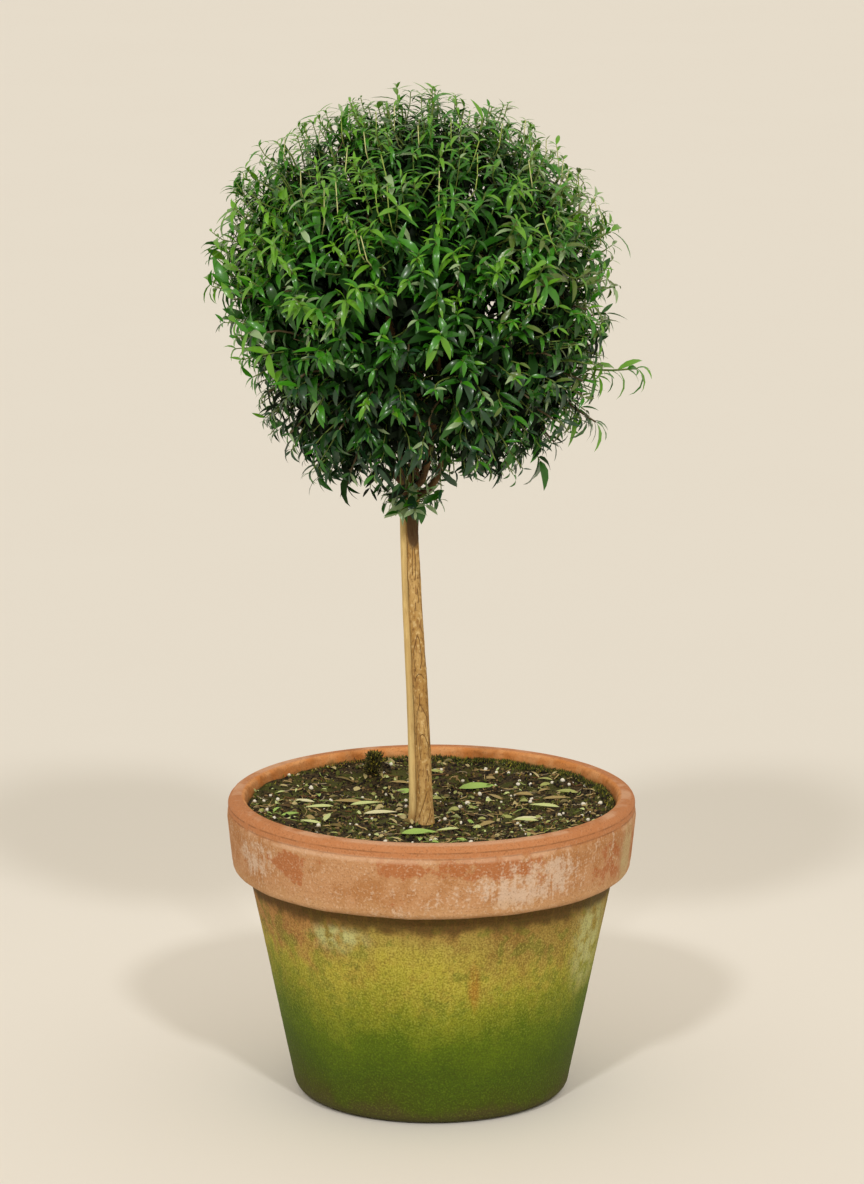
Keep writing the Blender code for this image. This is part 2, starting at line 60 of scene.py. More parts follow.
class Value:  # a socket that can be written with in sums
    def __init__(self, finish, link):
        self.finish = finish
        self.link = link

    __add__, __radd__ = operator("ADD"), operator("ADD", True)
    __sub__, __rsub__ = operator("SUBTRACT"), operator("SUBTRACT", True)
    __mul__, __rmul__ = operator("MULTIPLY"), operator("MULTIPLY", True)

    def swing(self, amount):  # a grain of 0 to 1 turned into one about 0
        return (self - 0.5) * amount

    def between(self, low, high):  # 0 at low, 1 at high, smooth
        sockets = {0: self, 1: low, 2: high, 3: 0.0, 4: 1.0}
        return self.finish.node("MapRange", {"interpolation_type": "SMOOTHSTEP"}, sockets)


class Finish:  # a material and the means to add nodes to it
    def __init__(self, name, constants):
        self.material = bpy.data.materials.new(name)
        self.material.use_nodes = True
        self.nodes = self.material.node_tree.nodes
        self.links = self.material.node_tree.links
        self.surface = self.nodes["Principled BSDF"]
        for socket, value in constants.items():
            self.feed(self.surface.inputs[socket], value)
        self.place = self.node("TexCoord", {}, {}, "Object")

    def feed(self, socket, value):
        if isinstance(value, Value):
            self.links.new(value.link, socket)
        elif socket.type == "RGBA":
            socket.default_value = (*value[:3], 1.0)
        else:
            socket.default_value = value

    def node(self, kind, settings, sockets, out=0):
        made = self.nodes.new("ShaderNode" + kind)
        for key, value in settings.items():
            if key == "stops":
                while len(made.color_ramp.elements) < len(value):
                    made.color_ramp.elements.new(1.0)
                for element, (position, shade) in zip(made.color_ramp.elements, value):
                    element.position = position
                    element.color = (*linear(*shade), 1.0)
            else:
                setattr(made, key, value)
        for key, value in sockets.items():
            self.feed(made.inputs[key], value)
        return Value(self, made.outputs[out])

    def vector(self, operation, *values, out=0):
        return self.node("VectorMath", {"operation": operation}, dict(enumerate(values)), out)

    def axes(self):
        split = self.node("SeparateXYZ", {}, {0: self.place})
        return [Value(self, output) for output in split.link.node.outputs]

    def grain(self, size, detail=3.0, stretch=(1, 1, 1), shift=0.0):  # soft noise, 0 to 1, size in metres
        place = self.vector("MULTIPLY_ADD", self.place, stretch, (shift, shift * 0.7, shift * 1.3))
        return self.node("TexNoise", {}, {"Vector": place, "Scale": 1 / size, "Detail": detail})

    def spot(self, centre, radii, soft=0.6):  # 1 inside an ellipsoid, fading to 0
        scaled = self.vector("DIVIDE", self.vector("SUBTRACT", self.place, centre), radii)
        return self.vector("LENGTH", scaled, out=1).between(1.0 + soft, 1.0 - soft)

    def spots(self, places):
        return sum(self.spot(*place) for place in places)

    def mix(self, share, first, second):
        return self.node("Mix", {"data_type": "RGBA"}, {0: share, 6: first, 7: second}, 2)

    def blend(self, shades, first, second, share):
        return self.mix(share, linear(*shades[first]), linear(*shades[second]))

    def coats(self, colour, shades, shares):  # named shades laid over a colour, each by its share
        for name, share in shares.items():
            colour = self.mix(share, colour, linear(*shades[name]))
        return colour

    def wear(self, colour, roughness, height, distance):  # height is the bump's
        bump = self.node("Bump", {}, {"Height": height, "Distance": distance, "Strength": 1.0})
        for socket, value in {"Base Color": colour, "Roughness": roughness, "Normal": bump}.items():
            self.feed(self.surface.inputs[socket], value)
        return self.material


def plains(shades, rough=0.85, specular=0.25):  # finishes of one colour each
    finishes = []
    for name, shade in shades.items():
        sockets = {"Base Color": linear(*shade), "Roughness": rough, "Specular IOR Level": specular}
        finishes.append(Finish(name, sockets).material)
    return finishes


# Meshes

upward = Vector((0, 0, 1))


def addObject(name, data):
    made = bpy.data.objects.new(name, data)
    bpy.context.scene.collection.objects.link(made)
    return made


def addPiece(name, mesh, materials, replaced=()):
    piece = addObject(name, mesh)
    for material in materials:
        mesh.materials.append(material)
    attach(piece, "root")
    for node in replaced:
        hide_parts(node)
    return piece


class Bundle:  # many small shapes joined in one mesh
    def __init__(self):
        self.points = []
        self.faces = []
        self.slots = []

    def add(self, points, faces, slot=0):
        first = len(self.points)
        self.points.extend(points)
        self.faces.extend(tuple(index + first for index in face) for face in faces)
        self.slots.extend([slot] * len(faces))

    def tube(self, line, radii, sides, slot=0):
        points, faces = [], []
        side = None
        for index, (point, radius) in enumerate(zip(line, radii)):
            along = (line[min(index + 1, len(line) - 1)] - line[max(index - 1, 0)]).normalized()
            side = along.orthogonal() if side is None else side - along * side.dot(along)
            side.normalize()
            across = along.cross(side)
            for step in range(sides):
                angle = math.tau * step / sides
                points.append(point + (side * math.cos(angle) + across * math.sin(angle)) * radius)
        for ring in range(len(line) - 1):
            faces.extend(ringFaces(ring, sides))
        for ring, order in ((0, -1), (len(line) - 1, 1)):
            faces.append(tuple(ring * sides + step for step in range(sides))[::order])
        self.add(points, faces, slot)

    def mesh(self, name, smooth=True):
        mesh = newMesh(name, [tuple(point) for point in self.points], self.faces, smooth)
        mesh.polygons.foreach_set("material_index", self.slots)
        return mesh


def ringFaces(ring, steps):  # four-sided faces from one ring of points to the next
    for step in range(steps):
        a = ring * steps + step
        b = ring * steps + (step + 1) % steps
        yield a, b, b + steps, a + steps


def newMesh(name, points, faces, smooth=True):
    mesh = bpy.data.meshes.new(name)
    mesh.from_pydata(points, [], faces)
    if smooth:
        mesh.shade_smooth()
    return mesh


def gridMesh(name, rings):  # rings of points, each joined to the next, with both ends closed
    points = [tuple(point) for ring in rings for point in ring]
    faces = [face for ring in range(len(rings) - 1) for face in ringFaces(ring, len(rings[0]))]
    mesh = newMesh(name, points, faces)
    bm = bmesh.new()
    bm.from_mesh(mesh)
    bmesh.ops.holes_fill(bm, edges=[edge for edge in bm.edges if edge.is_boundary])
    bmesh.ops.recalc_face_normals(bm, faces=bm.faces)
    bm.to_mesh(mesh)
    bm.free()
    return mesh


def bell(value, middle, width):  # 1 at the middle, falling to 0 on both sides
    return math.exp(-(((value - middle) / width) ** 2))


def heading(azimuth, rise=0.0):
    flat = math.cos(rise)
    return Vector((math.cos(azimuth) * flat, math.sin(azimuth) * flat, math.sin(rise)))


def smoothLine(controls, count):  # points along a Catmull-Rom curve
    points = [Vector(control) for control in controls]
    points = [points[0] * 2 - points[1], *points, points[-1] * 2 - points[-2]]
    spans = len(controls) - 1
    line = []
    for step in range(count):
        place = spans * step / (count - 1)
        span = min(int(place), spans - 1)
        t = place - span
        a, b, c, d = points[span:span + 4]
        bend = (a * 2 - b * 5 + c * 4 - d) * t**2 + (b * 3 - a - c * 3 + d) * t**3
        line.append((b * 2 + (c - a) * t + bend) / 2)
    return line


def evenRadii(first, last, count):
    return [first + (last - first) * step / (count - 1) for step in range(count)]


# Pot: weathered clay, mossy towards its foot

pot = {
    "height": 0.2231, "rimRadius": 0.15, "rimWidest": 0.208, "lipRadius": 0.1493, "lipRounding": 0.006,
    "bandFootRadius": 0.1455, "bandFoot": 0.1665, "bandRounding": 0.0075, "wallTopRadius": 0.1343,
    "wallRounding": 0.002, "footRadius": 0.1, "footRounding": 0.01, "boreLip": 0.1375,
    "boreLipRounding": 0.004, "boreFloor": 0.0885, "boreFloorHeight": 0.014, "boreFloorRounding": 0.012,
    "steps": 168, "spacing": 0.003, "roundSteps": 6, "centreRadius": 0.0005, "sharpDegrees": 50,
    "drains": 3, "drainRadius": 0.007, "drainCircle": 0.045, "drainSteps": 32,
    # relief: depths in metres, scales of the noise per metre
    "wobble": 0.0005, "wobbleScale": 14, "pitting": 0.00012, "pittingScale": 420, "groove": 0.0008,
    "grooves": [(0.2136, 0.0009, 1.0), (0.1735, 0.0012, 0.5)],  # height, half width, share of the depth
    "turning": 0.12, "turningScale": 260, "trueFoot": 0.01, "trueCentre": 0.05,
    "bandEdge": 0.003, "bandEdgeInset": 0.001, "bandEdgeWave": 0.0008,
    "boreSlope": 0.2, "boreLean": 0.223,  # lines that part the bore from the outside, for relief and colour
    "chips": 9, "chipInset": (0.0005, 0.003), "chipDrop": 0.003, "chipSize": (0.0015, 0.0035),
    "chipDepth": 0.0009,
    # colours of the body by share of its height, then colours that lie over the body, band and bore
    "heights": [
        (0.0, (68, 70, 14)), (0.07, (66, 78, 6)), (0.22, (66, 86, 4)), (0.38, (84, 104, 6)),
        (0.54, (130, 134, 30)), (0.7, (172, 160, 58)), (0.86, (162, 142, 66)), (1.0, (156, 118, 62)),
    ],
    "shades": {
        "tan": (140, 108, 52), "bare": (170, 120, 68), "stain": (136, 94, 40), "algae": (96, 112, 26),
        # the dark strip laid just under the band is painted shade
        "seep": (160, 104, 34), "lichen": (194, 198, 136), "footDarkening": (74, 66, 34), "underBandShade": (78, 54, 20),
        "drips": (122, 96, 34), "darkSpecks": (58, 58, 12), "lowSpecks": (112, 132, 30),
        "highSpecks": (208, 198, 104), "clay": (172, 120, 74), "paleClay": (186, 138, 96),
        "orange": (164, 92, 44), "chalk": (208, 184, 162), "foot": (196, 156, 112), "edge": (120, 84, 40),
        "bloom": (190, 188, 140), "lip": (184, 120, 76), "lipLine": (128, 82, 46), "grit": (116, 74, 40),
        "dust": (222, 190, 160), "wearAndHighlight": (220, 184, 154), "bore": (216, 156, 102),
        "boreOrange": (200, 126, 64), "boreStains": (160, 96, 40), "damp": (104, 80, 26),
        "boreGrit": (96, 60, 26),
    },
    # patches that show from the front: centre and half sizes
    "seeps": [((0.03, -0.115, 0.112), (0.0045, 0.03, 0.018))],
    "lichens": [
        ((-0.068, -0.11, 0.145), (0.02, 0.03, 0.01)), ((0.116, -0.055, 0.125), (0.016, 0.03, 0.034)),
    ],
    "oranges": [
        ((0.028, -0.145, 0.206), (0.032, 0.03, 0.009)), ((0.138, -0.05, 0.19), (0.03, 0.05, 0.018)),
        ((-0.024, -0.147, 0.206), (0.02, 0.03, 0.008)), ((0.068, -0.137, 0.204), (0.026, 0.03, 0.009)),
        ((-0.105, -0.105, 0.2), (0.014, 0.03, 0.01)),
    ],
    "salts": [
        ((0.074, -0.124, 0.191), (0.038, 0.05, 0.018)), ((-0.124, -0.078, 0.196), (0.016, 0.03, 0.014)),
    ],
    "faintSalts": [((0.036, -0.145, 0.184), (0.05, 0.03, 0.012))],
    "blooms": [((0.142, -0.044, 0.19), (0.01, 0.014, 0.02))],
    "lipLines": (0.2132, 0.2176), "lipLineWidth": 0.0009,
}


def roundedProfile(corners, segments):
    profile = []
    for index, (radius, height, rounding) in enumerate(corners):
        corner = Vector((radius, height))
        if rounding == 0:
            profile.append(corner)
            continue
        before = (Vector(corners[index - 1][:2]) - corner).normalized()
        after = (Vector(corners[index + 1][:2]) - corner).normalized()
        halfAngle = before.angle(after) / 2
        centre = corner + (before + after).normalized() * rounding / math.sin(halfAngle)
        first = corner + before * rounding / math.tan(halfAngle) - centre
        last = corner + after * rounding / math.tan(halfAngle) - centre
        for step in range(segments + 1):
            profile.append(centre + first.lerp(last, step / segments).normalized() * rounding)
    return profile


def evenly(profile, spacing):  # more points on the long straight parts
    line = [profile[0]]
    for start, end in zip(profile, profile[1:]):
        parts = max(1, round((end - start).length / spacing))
        line.extend(start.lerp(end, part / parts) for part in range(1, parts + 1))
    return line


def potProfile():
    p = pot
    corners = (
        (0.0, p["boreFloorHeight"], 0),
        (p["boreFloor"], p["boreFloorHeight"], p["boreFloorRounding"]),
        (p["boreLip"], p["height"], p["boreLipRounding"]),
        (p["lipRadius"], p["height"], p["lipRounding"]),
        (p["rimRadius"], p["rimWidest"], 0),
        (p["bandFootRadius"], p["bandFoot"], p["bandRounding"]),
        (p["wallTopRadius"], p["bandFoot"], p["wallRounding"]),
        (p["footRadius"], 0.0, p["footRounding"]),
        (0.0, 0.0, 0),
    )
    profile = evenly(roundedProfile(corners, p["roundSteps"]), p["spacing"])
    profile[0].x = profile[-1].x = p["centreRadius"]
    return profile


def potPoint(out, radius, height, chips):
    p = pot
    point = out * radius + upward * height
    move = noise.noise(point * p["wobbleScale"]) * p["wobble"]
    move += noise.noise(point * p["pittingScale"]) * p["pitting"]
    outside = radius > p["boreLip"] + (height - p["height"]) * p["boreSlope"]
    if outside and height > p["bandFoot"]:
        lines = sum(share * bell(height, middle, width) for middle, width, share in p["grooves"])
        move -= lines * p["groove"] * (1 + 0.5 * noise.noise(out * 3))
    elif outside:
        move += p["turning"] * p["groove"] * noise.noise(Vector((out.x, out.y, height * p["turningScale"])))
    point += out * move * min(height / p["trueFoot"], 1.0) * min(radius / p["trueCentre"], 1.0)
    if abs(height - p["bandFoot"]) < p["bandEdge"] and radius > p["wallTopRadius"] + p["bandEdgeInset"]:
        point.z += noise.noise(out * 5) * p["bandEdgeWave"]
    for at, size in chips:
        near = (point - at).length
        if near < size:
            point -= (out + upward) * p["chipDepth"] * (1 - (near / size) ** 2) * 0.5
    return point


def makePot(rng):
    p = pot
    chips = []
    for _ in range(p["chips"]):
        at = heading(rng.uniform(0, math.tau)) * (p["lipRadius"] - rng.uniform(*p["chipInset"]))
        at.z = p["height"] - rng.uniform(0, p["chipDrop"])
        chips.append((at, rng.uniform(*p["chipSize"])))
    outs = [heading(math.tau * step / p["steps"]) for step in range(p["steps"])]
    rings = [[potPoint(out, radius, height, chips) for out in outs] for radius, height in potProfile()]
    clay = addPiece("clayPot", gridMesh("clayPot", rings), [weatheredClay()], ["pot"])
    for index in range(p["drains"]):
        cutDrain(clay, heading(math.tau * index / p["drains"]) * p["drainCircle"])
    clay.data.set_sharp_from_angle(angle=math.radians(p["sharpDegrees"]))


def cutDrain(clay, at):
    p = pot
    bm = bmesh.new()
    bmesh.ops.create_cone(
        bm, cap_ends=True, segments=p["drainSteps"], radius1=p["drainRadius"], radius2=p["drainRadius"],
        depth=p["boreFloorHeight"] * 3, matrix=Matrix.Translation(at),
    )
    drain = bpy.data.meshes.new("drain")
    bm.to_mesh(drain)
    bm.free()
    cutter = addObject("drain", drain)
    cut = clay.modifiers.new("drain", "BOOLEAN")
    cut.operation = "DIFFERENCE"
    cut.object = cutter
    depsgraph = bpy.context.evaluated_depsgraph_get()
    mesh = bpy.data.meshes.new_from_object(clay.evaluated_get(depsgraph))
    clay.modifiers.clear()
    clay.data = mesh
    bpy.data.objects.remove(cutter)


def weatheredClay():
    f = Finish("weatheredClay", {"Specular IOR Level": 0.25})
    p = pot
    shades = p["shades"]
    x, _, z = f.axes()
    flat = f.vector("MULTIPLY", f.place, (1, 1, 0))
    front = f.vector("DOT_PRODUCT", f.vector("NORMALIZE", flat), (0, -1, 0), out=1)
    radius = f.vector("LENGTH", flat, out=1)
    cloud = f.grain(0.055, 3)
    mottle = f.grain(0.012, 5, shift=3)
    flake = f.grain(0.009, 7, shift=17)
    dust = f.grain(0.0018, 4, shift=7)
    speck = f.grain(0.0013, 5, shift=11)
    streak = f.grain(0.01, 5, stretch=(1, 1, 0.16), shift=5)
    runs = f.grain(0.0035, 5, stretch=(1, 1, 0.12), shift=13)

    # body: moss and algae by height, higher at the sides than in front: painted shade at the sides
    rise = front.between(0.98, 0.45) * 0.013
    level = z - rise + cloud.swing(0.06) + mottle.swing(0.024) + streak.swing(0.014)
    body = f.node("ValToRGB", {"stops": p["heights"]}, {0: level * (1 / p["bandFoot"])})
    tan = (z + mottle.swing(0.05) + streak.swing(0.05)).between(0.096, 0.142)
    bare = (z + streak.swing(0.05) + mottle.swing(0.03)).between(0.116, 0.144)
    body = f.coats(body, shades, {
        "tan": tan * x.between(0.015, 0.06) * 0.65,
        "bare": bare * x.between(-0.05, -0.092) * 0.9,
        "stain": mottle.between(0.46, 0.68) * z.between(0.07, 0.12) * 0.28,
        "algae": (flake + cloud.swing(0.8)).between(0.54, 0.66) * z.between(0.05, 0.09) * 0.45,
        "seep": f.spots(p["seeps"]) * streak.between(0.35, 0.6) * 0.7,
        "lichen": f.spots(p["lichens"]) * (mottle + streak * 0.5).between(0.6, 0.86) * 0.75,
        # darker towards the foot
        "footDarkening": (z + cloud.swing(0.02) + mottle.swing(0.02)).between(0.016, 0.002) * 0.7,
        # painted shade: a dark strip just under the band's overhang
        "underBandShade": (z + mottle.swing(0.014) + streak.swing(0.01)).between(0.1495, 0.158) * 0.85,
        "drips": runs.between(0.5, 0.66) * z.between(0.07, 0.13) * 0.3,
        "darkSpecks": speck.between(0.48, 0.62) * 0.4,
    })
    light = f.blend(shades, "lowSpecks", "highSpecks", z.between(0.05, 0.11))
    body = f.mix(speck.between(0.47, 0.35) * z.between(0.156, 0.14) * 0.28, body, light)

    # band: clay with orange patches and chalky salts that run down it
    band = f.blend(shades, "clay", "paleClay", (cloud + mottle.swing(0.9)).between(0.38, 0.62))
    worn = mottle * 0.5 + streak * 0.5
    warm = f.spots(p["oranges"]) + cloud.between(0.56, 0.74) * 0.5
    warm = warm + flake.swing(3.2) + runs.swing(1.0) + dust.swing(0.8)
    salts = f.spots(p["salts"]) + f.spots(p["faintSalts"]) * 0.5 + cloud.between(0.48, 0.36) * 0.5
    salts = salts + dust.swing(2.4) - flake.swing(2.8) + runs.swing(2.6)
    lip = z.between(0.2105, 0.215)
    band = f.coats(band, shades, {
        "orange": warm.between(0.62, 0.92) * 0.7,
        "chalk": salts.between(0.45, 1.6) * 0.75,
        "foot": (z + mottle.swing(0.022)).between(0.183, 0.17) * 0.45,
        "edge": (z + mottle.swing(0.006)).between(0.17, p["bandFoot"]) * 0.5,
        "bloom": f.spots(p["blooms"]) * worn,
        "lip": lip * 0.85,
    })
    for height in p["lipLines"]:
        line = z.between(height - p["lipLineWidth"], height) * z.between(height + p["lipLineWidth"], height)
        band = f.coats(band, shades, {"lipLine": line * mottle.between(0.3, 0.55) * 0.7})
    # pale lines along the lip: wear, and painted highlight on its edges
    wearAndHighlight = z.between(0.2085, 0.211) * z.between(0.215, 0.212) + z.between(0.2216, 0.2229)
    band = f.coats(band, shades, {
        "grit": speck.between(0.54, 0.7) * 0.45,
        "dust": dust.between(0.5, 0.72) * (0.35 - lip * 0.25),
        "wearAndHighlight": wearAndHighlight * (cloud + mottle.swing(0.5)).between(0.44, 0.62) * 0.4,
    })

    # bore: orange above the soil, dark and mossy where it meets it
    bore = f.blend(shades, "bore", "boreOrange", worn.between(0.35, 0.65))
    stained = (cloud + mottle * 0.6).between(0.66, 0.84)
    bore = f.coats(bore, shades, {
        "boreStains": (z + flake.swing(0.014)).between(0.2222, 0.2185) * stained * 0.55,
        "damp": (z + mottle.swing(0.012) + cloud.swing(0.008)).between(0.2178, 0.2126) * 0.8,
        "boreGrit": speck.between(0.54, 0.7) * 0.35,
    })

    outer = f.mix(z.between(0.166, 0.1672), body, band)
    inside = (z * p["boreLean"] - radius).between(-0.0905, -0.0885)
    rings = f.grain(0.0022, 2, stretch=(0.06, 0.06, 1), shift=2)
    relief = dust * 0.6 + speck * 0.6 + mottle * 0.6 + rings * 0.35
    return f.wear(f.mix(inside, outer, bore), 0.8 + dust * 0.2, relief, 0.0008)


makePot(random.Random(5))
print("pot made")


# Stems: the trunk and the slim pale stem against it

stems = {
    "line": [
        (-0.005, -0.03, 0.2083), (-0.005, -0.029, 0.225), (-0.0078, -0.0215, 0.3),
        (-0.0122, -0.0115, 0.38), (-0.0138, -0.0055, 0.44), (-0.011, -0.003, 0.5),
    ],
    "foot": 0.2083, "top": 0.5, "footRadius": 0.006, "tipRadius": 0.0037, "flare": 0.0014,
    "flareHeight": 0.007, "forkSwell": 0.0008, "fork": 0.446, "forkLength": 0.016,
    "sideTop": 0.442, "sideFootRadius": 0.0029, "sideTopRadius": 0.0024, "sideDegrees": 160,
    "sideGap": 0.0002, "sideSquare": 3.4, "sideTwist": 22, "sideSlack": 0.94,
    "rings": 560, "steps": 72, "sideRings": 200, "sideSteps": 28,
    # relief: scale of the noise and depth
    "fibres": [(420, 0.00022), (1300, 0.0001)], "fibreCircle": 0.005, "fibreStretch": 0.22,
    "waves": (40, 0.0003), "ridge": (0.3215, 0.0007, 0.0003),  # height, half width, depth
    "flap": {"height": 0.4095, "edge": 0.0015, "depth": 0.00035, "degrees": 280},  # bark is lost above it
    "grooveWidth": 0.00036, "grooveDepth": 0.00045,
    # cracks that show from the front: azimuth in degrees and height, from end to end
    "cracks": [
        [(262, 0.41), (258, 0.401), (252, 0.39)], [(284, 0.409), (292, 0.398), (280, 0.387)],
        [(270, 0.347), (246, 0.34), (217, 0.3318), (238, 0.3206)],
        [(272, 0.346), (288, 0.343), (300, 0.328), (276, 0.322)],
        [(221, 0.3131), (244, 0.3172), (266, 0.3186), (292, 0.3175), (313, 0.3148)],
        [(259, 0.304), (257, 0.2964), (238, 0.291), (222, 0.2852), (206, 0.2665)],
        [(259, 0.2968), (288, 0.292), (315, 0.2868), (330, 0.274), (335, 0.2646)],
        [(250, 0.2735), (272, 0.2748), (290, 0.2732), (320, 0.2665), (326, 0.257)],
        [(252, 0.273), (244, 0.264), (250, 0.256)], [(218, 0.2516), (226, 0.24), (231, 0.231)],
        [(292, 0.233), (262, 0.224), (230, 0.215), (224, 0.2086)],
        [(318, 0.2198), (298, 0.214), (276, 0.2086)],
        [(300, 0.248), (306, 0.24)], [(272, 0.37), (262, 0.364)], [(296, 0.38), (304, 0.37)],
    ],
    # cracks dealt over the rest
    "moreCracks": 46, "crackSide": (-20, 200), "crackHeights": (0.215, 0.47), "crackDrift": 9,
    "crackDrop": (0.006, 0.014), "crackFoot": 0.209, "forkChance": 0.4, "forkTurn": 22,
    # one of these, laid on the trunk's top, is painted shade under the head
    "shades": {
        "bark": (168, 128, 68), "paleBark": (192, 156, 96), "darkFibre": (130, 86, 38),
        "darkFleck": (106, 70, 30), "paleFleck": (218, 190, 134), "bare": (70, 46, 24), "high": (92, 68, 40),
        "crack": (84, 54, 22), "wood": (214, 186, 124), "darkWood": (196, 166, 106),
        "grain": (162, 124, 70), "low": (150, 104, 52),
    },
    "bareSpot": ((-0.0128, -0.0125, 0.4265), (0.0064, 0.0085, 0.017), 0.16),
}


def stemShare(height, top):
    return (height - stems["foot"]) / (top - stems["foot"])


def trunkRadius(height):
    s = stems
    taper = s["footRadius"] + (s["tipRadius"] - s["footRadius"]) * stemShare(height, s["top"])
    flare = s["flare"] * math.exp((s["foot"] - height) / s["flareHeight"])
    return taper + flare + s["forkSwell"] * bell(height, s["fork"], s["forkLength"])


trunkLine = smoothLine(stems["line"], 600)
trunkHeights = np.array([point.z for point in trunkLine])


def trunkAt(height):
    return trunkLine[int(np.abs(trunkHeights - height).argmin())]


def crackLines(rng):
    s = stems
    shortest, longest = s["crackDrop"]
    cracks = list(s["cracks"])
    for _ in range(s["moreCracks"]):
        azimuth = rng.uniform(*s["crackSide"])
        height = rng.uniform(*s["crackHeights"])
        cracks.append([(azimuth, height)])
        for _ in range(rng.randint(1, 4)):
            azimuth += rng.gauss(0, s["crackDrift"])
            height -= rng.uniform(shortest, longest)
            cracks[-1].append((azimuth, max(height, s["crackFoot"])))
        if rng.random() < s["forkChance"]:
            azimuth, height = cracks[-1][0]
            turn = rng.choice((-s["forkTurn"], s["forkTurn"]))
            cracks.append([(azimuth, height), (azimuth + turn, max(height - longest, s["crackFoot"]))])
    return cracks


def grooveMap(places, heights, radii, cracks):  # 1 in a crack, 0 away from it
    deep = np.zeros(len(places))
    for crack in cracks:
        for (startAzimuth, startHeight), (endAzimuth, endHeight) in zip(crack, crack[1:]):
            middle = (startHeight + endHeight) / 2
            near = np.abs(heights - middle) < abs(startHeight - endHeight) / 2 + 0.002
            if not near.any():
                continue
            turn = np.radians((places[near] - startAzimuth + 180) % 360 - 180) * radii[near]
            ax = np.radians(endAzimuth - startAzimuth) * radii[near]
            az = endHeight - startHeight
            pz = heights[near] - startHeight
            share = np.clip((turn * ax + pz * az) / (ax * ax + az * az), 0, 1)
            apart = np.hypot(turn - share * ax, pz - share * az)
            deep[near] = np.maximum(deep[near], np.exp(-((apart / stems["grooveWidth"]) ** 2)))
    return deep


def barkRelief(out, height):
    s = stems
    around = out * s["fibreCircle"] + upward * (height * s["fibreStretch"])
    relief = sum(noise.noise(around * scale) * depth for scale, depth in s["fibres"])
    scale, depth = s["waves"]
    relief += noise.noise(Vector((out.x, out.y, height * scale))) * depth
    middle, width, depth = s["ridge"]
    relief += bell(height, middle, width) * depth
    flap = s["flap"]
    if height > flap["height"]:
        facing = max(0.0, out.dot(heading(math.radians(flap["degrees"]))))
        relief -= flap["depth"] * min((height - flap["height"]) / flap["edge"], 1.0) * facing
    return relief


def makeTrunk(rng):
    s = stems
    heights = np.linspace(s["foot"], s["top"], s["rings"])
    azimuths = np.arange(s["steps"]) * 360.0 / s["steps"]
    gridHeights = np.repeat(heights, s["steps"])
    gridRadii = np.array([trunkRadius(height) for height in gridHeights])
    groove = grooveMap(np.tile(azimuths, s["rings"]), gridHeights, gridRadii, crackLines(rng))
    depths = groove * s["grooveDepth"]
    rings = []
    for row, height in enumerate(heights):
        centre = trunkAt(height)
        ring = []
        for column, azimuth in enumerate(azimuths):
            out = heading(math.radians(azimuth))
            index = row * s["steps"] + column
            radius = gridRadii[index] + barkRelief(out, height) - depths[index]
            ring.append(Vector((centre.x, centre.y, height)) + out * radius)
        rings.append(ring)
    mesh = gridMesh("trunkBark", rings)
    mesh.attributes.new("groove", "FLOAT", "POINT").data.foreach_set("value", groove)
    addPiece("trunkBark", mesh, [barkFinish()], ["trunk"])


def makeSideStem():
    s = stems
    power = s["sideSquare"]
    rings = []
    for height in np.linspace(s["foot"], s["sideTop"], s["sideRings"]):
        share = stemShare(height, s["sideTop"])
        radius = s["sideFootRadius"] + (s["sideTopRadius"] - s["sideFootRadius"]) * share
        apart = trunkRadius(height) + radius + s["sideGap"]
        centre = trunkAt(height) + heading(math.radians(s["sideDegrees"])) * apart
        ring = []
        for step in range(s["sideSteps"]):
            angle = math.tau * step / s["sideSteps"]
            square = (abs(math.cos(angle)) ** power + abs(math.sin(angle)) ** power) ** (-1 / power)
            out = heading(angle + math.radians(s["sideTwist"]))
            relief = noise.noise(out * 2.1 + upward * (height * 30)) * 0.00014
            relief += noise.noise(out * 9 + upward * (height * 90)) * 0.00006
            reach = radius * square * s["sideSlack"] + relief
            ring.append(Vector((centre.x, centre.y, height)) + out * reach)
        rings.append(ring)
    addPiece("sideStemBark", gridMesh("sideStemBark", rings), [paleWood()], ["side_stem"])


def barkFinish():
    f = Finish("bark", {"Specular IOR Level": 0.3})
    shades = stems["shades"]
    fibre = f.grain(0.0016, 5, stretch=(1, 1, 0.12))
    patch = f.grain(0.007, 5, stretch=(1, 1, 0.3), shift=4)
    fleck = f.grain(0.002, 5, stretch=(1, 1, 0.6), shift=9)
    groove = f.node("Attribute", {"attribute_name": "groove"}, {}, 2)
    colour = f.blend(shades, "bark", "paleBark", (patch + fibre.swing(0.6)).between(0.36, 0.6))
    colour = f.coats(colour, shades, {
        "darkFibre": fibre.between(0.5, 0.63) * 0.65,
        "darkFleck": fleck.between(0.55, 0.66) * 0.6,
        "paleFleck": fleck.between(0.44, 0.35) * 0.55,
        "bare": f.spot(*stems["bareSpot"]) * 0.92,
        # painted shade: the trunk darker at its top, under the head
        "high": f.axes()[2].between(0.44, 0.456) * 0.8,
        # darker in the cracks: their own colour, and painted shade in them
        "crack": groove.between(0.25, 0.8) * 0.85,
    })
    return f.wear(colour, 0.72 + fibre * 0.2, fibre + fleck * 0.7, 0.0004)


def paleWood():
    f = Finish("paleStem", {"Specular IOR Level": 0.3})
    shades = stems["shades"]
    fibre = f.grain(0.0014, 5, stretch=(1, 1, 0.06))
    patch = f.grain(0.012, 5, stretch=(1, 1, 0.3), shift=6)
    colour = f.coats(f.blend(shades, "wood", "darkWood", patch.between(0.35, 0.65)), shades, {
        "grain": fibre.between(0.5, 0.72) * 0.5,
        "low": f.axes()[2].between(0.222, 0.209) * 0.5,
    })
    return f.wear(colour, 0.66 + fibre * 0.2, fibre, 0.0003)


makeTrunk(random.Random(3))
makeSideStem()
print("stems made")


# Head: boughs, branchlets, shoots and leaves, each grown from the one before

